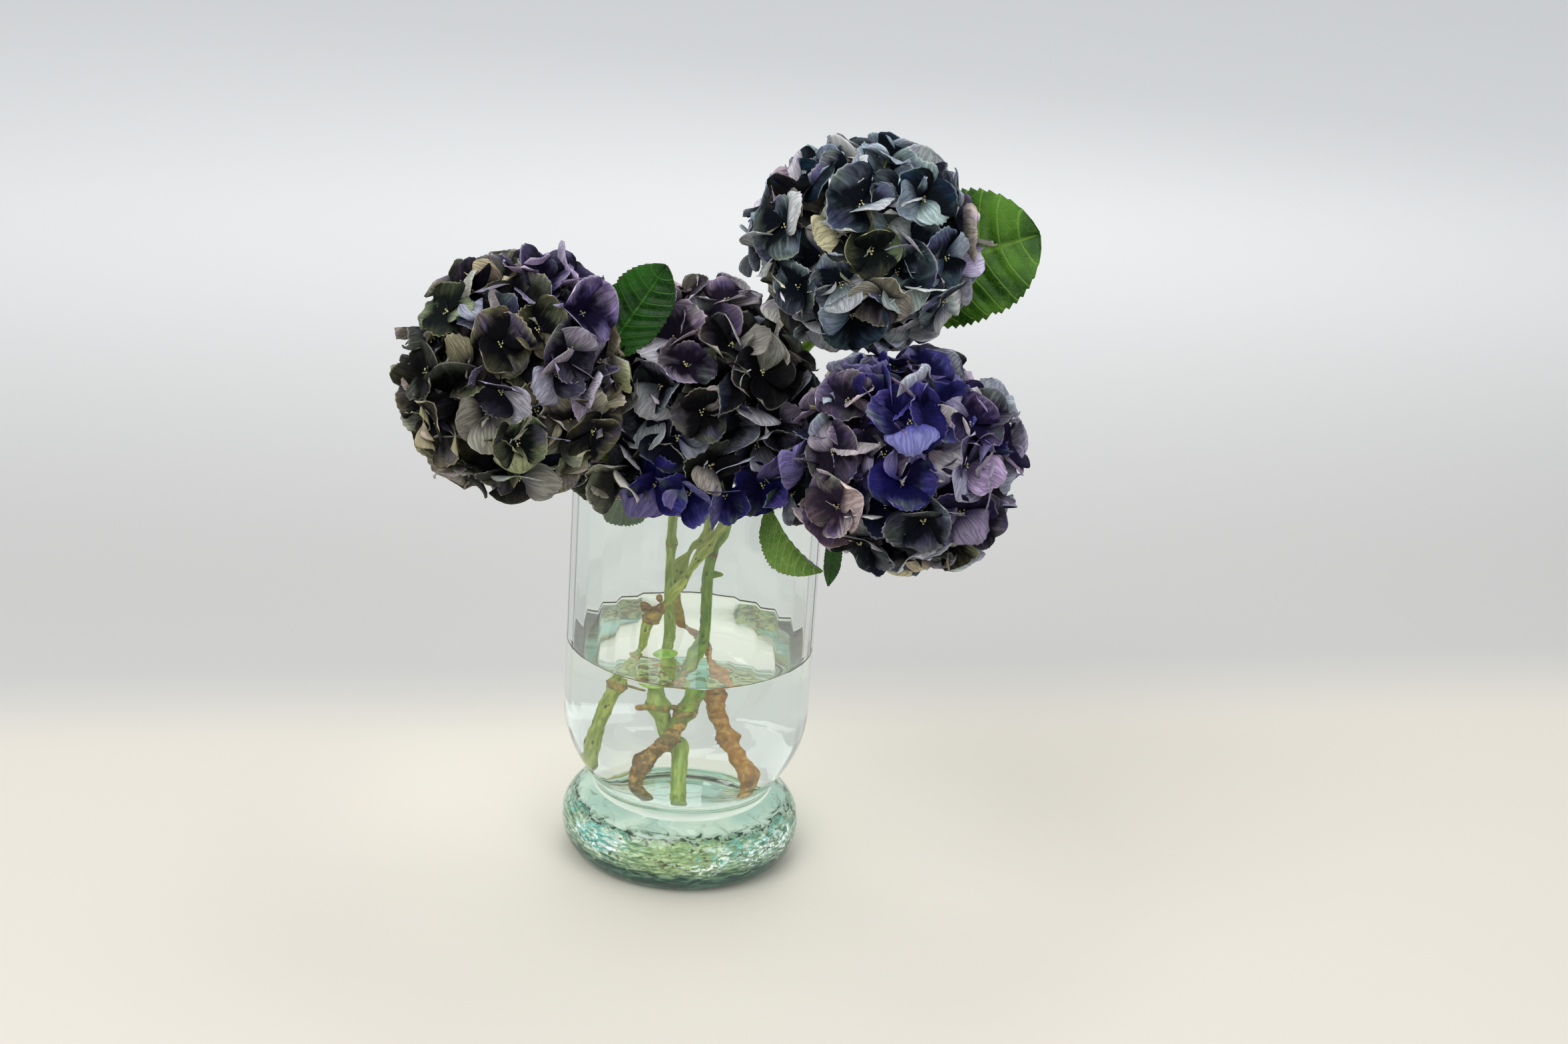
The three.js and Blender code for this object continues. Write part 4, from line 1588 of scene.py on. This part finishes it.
# ---------------------------------------------------------------- the arrangement
def make_stems() -> list[Stem]:
    """Returns the four stems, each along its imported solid."""
    green = StemFinish("stem right", "#8fa62c", "#cfd765", "#8a7740", 0.01, 0.0, 0.9,
                       ((0.186, 0.009), (0.132, 0.004)))
    sage = StemFinish("stem left", "#86a236", "#b9cc66", "#77802e", 0.08, 0.05, 0.35,
                      ((0.119, 0.003), (0.23, 0.0012)))
    dark = StemFinish("stem top", "#5f8c10", "#98bb2c", "#6f5316", 0.125, 0.105, 0.7,
                      ((0.117, 0.003), (0.215, 0.002), (0.254, 0.0015)))
    brown = StemFinish("stem centre", "#93a53a", "#bcc659", "#b07420", 0.19, 0.155, 0.8, ((0.12, 0.003),))
    right = Stem(
        "right",
        [(-41.5, 20, 61), (-42, 16, 74), (-43, 9, 89), (-41, 0, 109), (-36, -7, 132), (-31, -14, 158),
         (-29, -16, 173), (-25, -18, 183), (-17, -20, 192), (-10, -23, 205), (-2, -27, 220),
         (8, -32, 240), (17, -36, 255), (36, -50, 279), (54, -63, 297), (75, -73, 306), (101, -84, 318)],
        2.9, [((-25, -18, 183), 4.6), ((-36, -7, 132), 5.4), ((8, -32, 240), 4)], green,
        stubs=[((-25, -18, 184), (-30, -22, 190), 1.6, 4), ((-20, -19, 190), (-22, -22, 197), 1.2, 2.7),
               ((-36, -7, 133), (-22, -13, 132), 0.9, 0.9)],
        collars=[((-36, -7, 132), 4.6, 1.6), ((-27, -17, 180), 3.6, 1.6), ((-21, -19, 187), 3.4, 1.2)],
        soaked=1.25,
    )
    left = Stem(
        "left",
        [(0, -42, 60.5), (-1, -30, 77), (-2, -17, 92), (-8, -10, 100), (-14, -5, 119), (-15.5, -1, 132),
         (-14, 6, 158), (-16, 3, 189), (-16, 0, 206), (-16, -4, 230), (-17, -10, 257),
         (-24, -26, 280), (-40, -52, 299), (-60, -76, 317), (-92, -97, 350)],
        3.2, [((-16, -4, 230), 4.2), ((-14, -5, 119), 5.2), ((-1, -14, 94), 4.4)], sage,
        stubs=[((-14, -5, 119), (-23, -8, 117), 2.2, 2.5), ((-14, -5, 119), (-6, -9, 120), 2.0, 2.2)],
        collars=[((-14, -5, 118), 4.6, 2.4), ((-2, -14, 94), 4.4, 1.6)],
        soaked=1.4,
        bracts=[((-17, -7, 138), (8.5, 1, 0.8))],
    )
    top = Stem(
        "top",
        [(-18, -31, 60.5), (-25, -33, 72), (-22, -32, 84), (-8, -26, 101), (-1, -10, 115), (4, 6, 127),
         (8, 16, 143), (9, 25, 158), (9, 23, 170), (9, 21, 202), (12, 20, 215), (18, 20, 229),
         (28, 30, 260), (41, 42, 300), (55, 42, 345), (74, 25, 378), (93, -12, 426)],
        3.7, [((12, 20, 215), 5), ((0, -8, 117), 5.4), ((-22, -32, 84), 5), ((26, 28, 254), 5)], dark,
        stubs=[((9.5, 21, 199), (17.5, 22, 199), 2.5, 2.5)],
        collars=[((0, -8, 117), 4.8, 1.5), ((-12, -28, 97), 4.2, 1.4)],
        soaked=1.2,
    )
    centre = Stem(
        "centre",
        [(32, -6, 58.3), (34, -3, 72), (27, 4, 80), (20, 12, 91), (15, 18, 104), (11, 22, 120), (6, 29, 135),
         (-2, 29, 148), (-9, 23, 160), (-13, 22, 180), (-11, 22, 203), (-3, 22, 217), (4, 20, 223),
         (9, 15, 241), (8, 4, 262), (3, -14, 284), (0, -30, 303)],
        2.8, [((-11, 22, 203), 4.2), ((20, 12, 91), 4.6), ((34, -4, 74), 5.2), ((11, 22, 120), 4.2)], brown,
        stubs=[((6, 29, 135), (4, 22, 146), 1.4, 1.5)],
        collars=[((11, 22, 120), 3.6, 1.8), ((20, 12, 91), 3.8, 1.6), ((6, 28, 134), 3.2, 1.4)],
        soaked=1.3,
    )
    return [right, left, top, centre]


def make_leaves() -> list[Leaf]:
    """Returns the five leaves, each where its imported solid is."""
    bright = LeafFinish("leaf bright", "#234d0a", "#4e7e1c", "#76a03a", 9, 3.0, 0.2)
    dark = LeafFinish("leaf dark", "#0e3208", "#245a14", "#447a26", 8, 2.8, 0.8)
    under = LeafFinish("leaf underside", "#56803a", "#7a9f52", "#a8c47c", 9, 2.6, 0.2)
    pale = LeafFinish("leaf pale", "#4a6f24", "#688c38", "#b6cc8a", 9, 5.5, 0.15)
    # Painted light: a brighter, greener copy of the leaf colours that makes up for the heads' shadow and the
    # glass's reflection over the leaf under them.
    shade_brightened = LeafFinish("leaf shaded", "#146004", "#2f8c10", "#74c040", 7, 2.6, 0.5)
    return [
        Leaf("top", (70.1, 32.8, 374), (108, 44, 402), (214, 31, 454), (-0.15, -0.9, 0.4), 45, 0.16, 7,
             (bright, under)),
        Leaf("left", (-53, -63, 313), (-64, -86, 384), (-26, -71, 445), (-0.1, -0.95, 0.2), 21, 0.25, -5,
             (dark, under), 0.75),
        Leaf("under", (-21.6, -11.1, 262), (-24, -15, 267), (-66, -24, 263), (0, -0.75, 0.6), 20, 0.2, 4,
             (shade_brightened, under)),
        Leaf("right", (53.2, -65.9, 295.3), (47.5, -75.5, 291), (86, -79, 248), (-0.5, -0.75, -0.2), 15, 0.75,
             5, (pale, dark), 0.9),
        Leaf("small", (86, -79.6, 307.9), (92, -82, 291), (91, -74, 236), (0.2, -0.9, 0.1), 6, 0.3, 3,
             (dark, under), 1.0),
    ]


def make_blooms() -> list[Bloom]:
    """Returns the four flower heads, each with its own tones."""
    left = Bloom(
        "left", mm(-116, -110, 377), mm(73.5, 76, 78.5), mm(56, 34, -60).normalized(), 11,
        {Tone.CHARCOAL: 5, Tone.OLIVE: 6, Tone.DUSK: 1, Tone.CREAM: 1.2, Tone.MOSS: 1.5, Tone.NAVY: 1},
        [Accent((0.42, -0.1, 0.9), 0.9, Tone.LILAC, 0.95), Accent((0.9, -0.4, 0.2), 0.84, Tone.DUSK, 0.5),
         Accent((0.3, -0.9, -0.2), 0.9, Tone.NAVY, 0.4)],
        faded=0.18,
        drapes=[((-84, -106, 439), (0.3, -0.4, 0.9)), ((-74, -122, 426), (0.5, -0.7, 0.5)),
                ((-98, -112, 443), (-0.1, -0.4, 0.9))],
    )
    centre = Bloom(
        "centre", mm(-1, -40, 346), mm(77, 79, 82), mm(4, 26, -62).normalized(), 23,
        {Tone.CHARCOAL: 6, Tone.TEAL: 2, Tone.NAVY: 2.5, Tone.SLATE: 2.5, Tone.CREAM: 0.9, Tone.DUSK: 1},
        [Accent((0, -0.6, -0.85), 0.68, Tone.ROYAL, 0.6), Accent((0, -0.3, 1), 0.75, Tone.MAUVE, 0.55)],
        drapes=[((-66, -70, 312), (-0.6, -0.8, -0.2)), ((-47, -86, 308), (-0.3, -0.9, -0.4)),
                ((-25, -95, 308), (-0.2, -0.9, -0.3)), ((-3, -99, 306), (0.1, -0.9, -0.4)),
                ((20, -97, 304), (0.1, -0.9, -0.3)), ((43, -88, 310), (0.4, -0.9, -0.2)),
                ((62, -80, 302), (0.5, -0.8, -0.3)), ((-61, -79, 305), (-0.4, -0.9, -0.4)),
                ((80, -60, 297), (0.7, -0.7, -0.2))],
        faded=0.22,
    )
    top = Bloom(
        "top", mm(98, -30, 456), mm(79.5, 76, 71), mm(-24, 55, -78).normalized(), 37,
        {Tone.TEAL: 6, Tone.SILVER: 5, Tone.SLATE: 1.5, Tone.NAVY: 2.5, Tone.CHARCOAL: 1, Tone.MAUVE: 0.7,
         Tone.CREAM: 0.6},
        [Accent((-0.2, -0.95, 0.25), 0.97, Tone.MOSS, 1.0), Accent((-1, -0.4, -0.2), 0.75, Tone.SILVER, 0.6)],
        faded=0.42,
    )
    right = Bloom(
        "right", mm(133, -100, 337), mm(78, 75, 73), mm(-58, 27, -31).normalized(), 41,
        {Tone.ROYAL: 2, Tone.VIOLET: 5, Tone.NAVY: 3.5, Tone.MAUVE: 1.2, Tone.SLATE: 1.2, Tone.ROSE: 0.8,
         Tone.OLIVE: 1, Tone.DUSK: 3.5},
        [Accent((0, -0.4, 1), 0.8, Tone.ROYAL, 0.6), Accent((-0.5, -0.8, -0.6), 0.88, Tone.ROSE, 0.6),
         Accent((0.2, -0.6, -0.8), 0.75, Tone.SLATE, 0.5), Accent((-0.7, -0.5, 0.4), 0.9, Tone.MAUVE, 0.7),
         Accent((0.1, -1, -0.1), 0.9, Tone.ROYAL, 0.4)],
        faded=0.22,
    )
    blooms = [left, centre, top, right]
    for bloom in blooms:
        bloom.neighbours = [other for other in blooms if other is not bloom]
    return blooms


def main() -> None:
    """Builds the studio and every piece of the arrangement in order."""
    logging.basicConfig(level=logging.INFO, format="%(name)s: %(message)s")
    Studio().build()
    vase = Vase()
    vase.build_glass(GlassFinish("pale green glass", "#fbfffd", 1.5, 0.03 * MM).make())
    vase.build_foot(FootFinish().make())
    vase.build_water(GlassFinish("clear water", "#fdfffe", 1.333).make())
    for stem in make_stems():
        stem.build()
    for leaf in make_leaves():
        leaf.build()
    petals = [PetalFinish("sepal front", False).make(), PetalFinish("sepal back", True).make()]
    stalk = PlainFinish("floret stalk", "#5a7a30", "#a9c070").make()
    bead = PlainFinish("floret middle", "#8a8a4a", "#e4dcae", 900, 0.45).make()
    # Painted shade: the near-black finish of each head's hidden heart darkens the gaps between the florets.
    heart = PlainFinish("head painted shade", "#0d100c", "#1d2418", 150, 0.9).make()
    for bloom in make_blooms():
        bloom.build(petals, stalk, bead, heart)


if __name__ == "__main__":
    main()
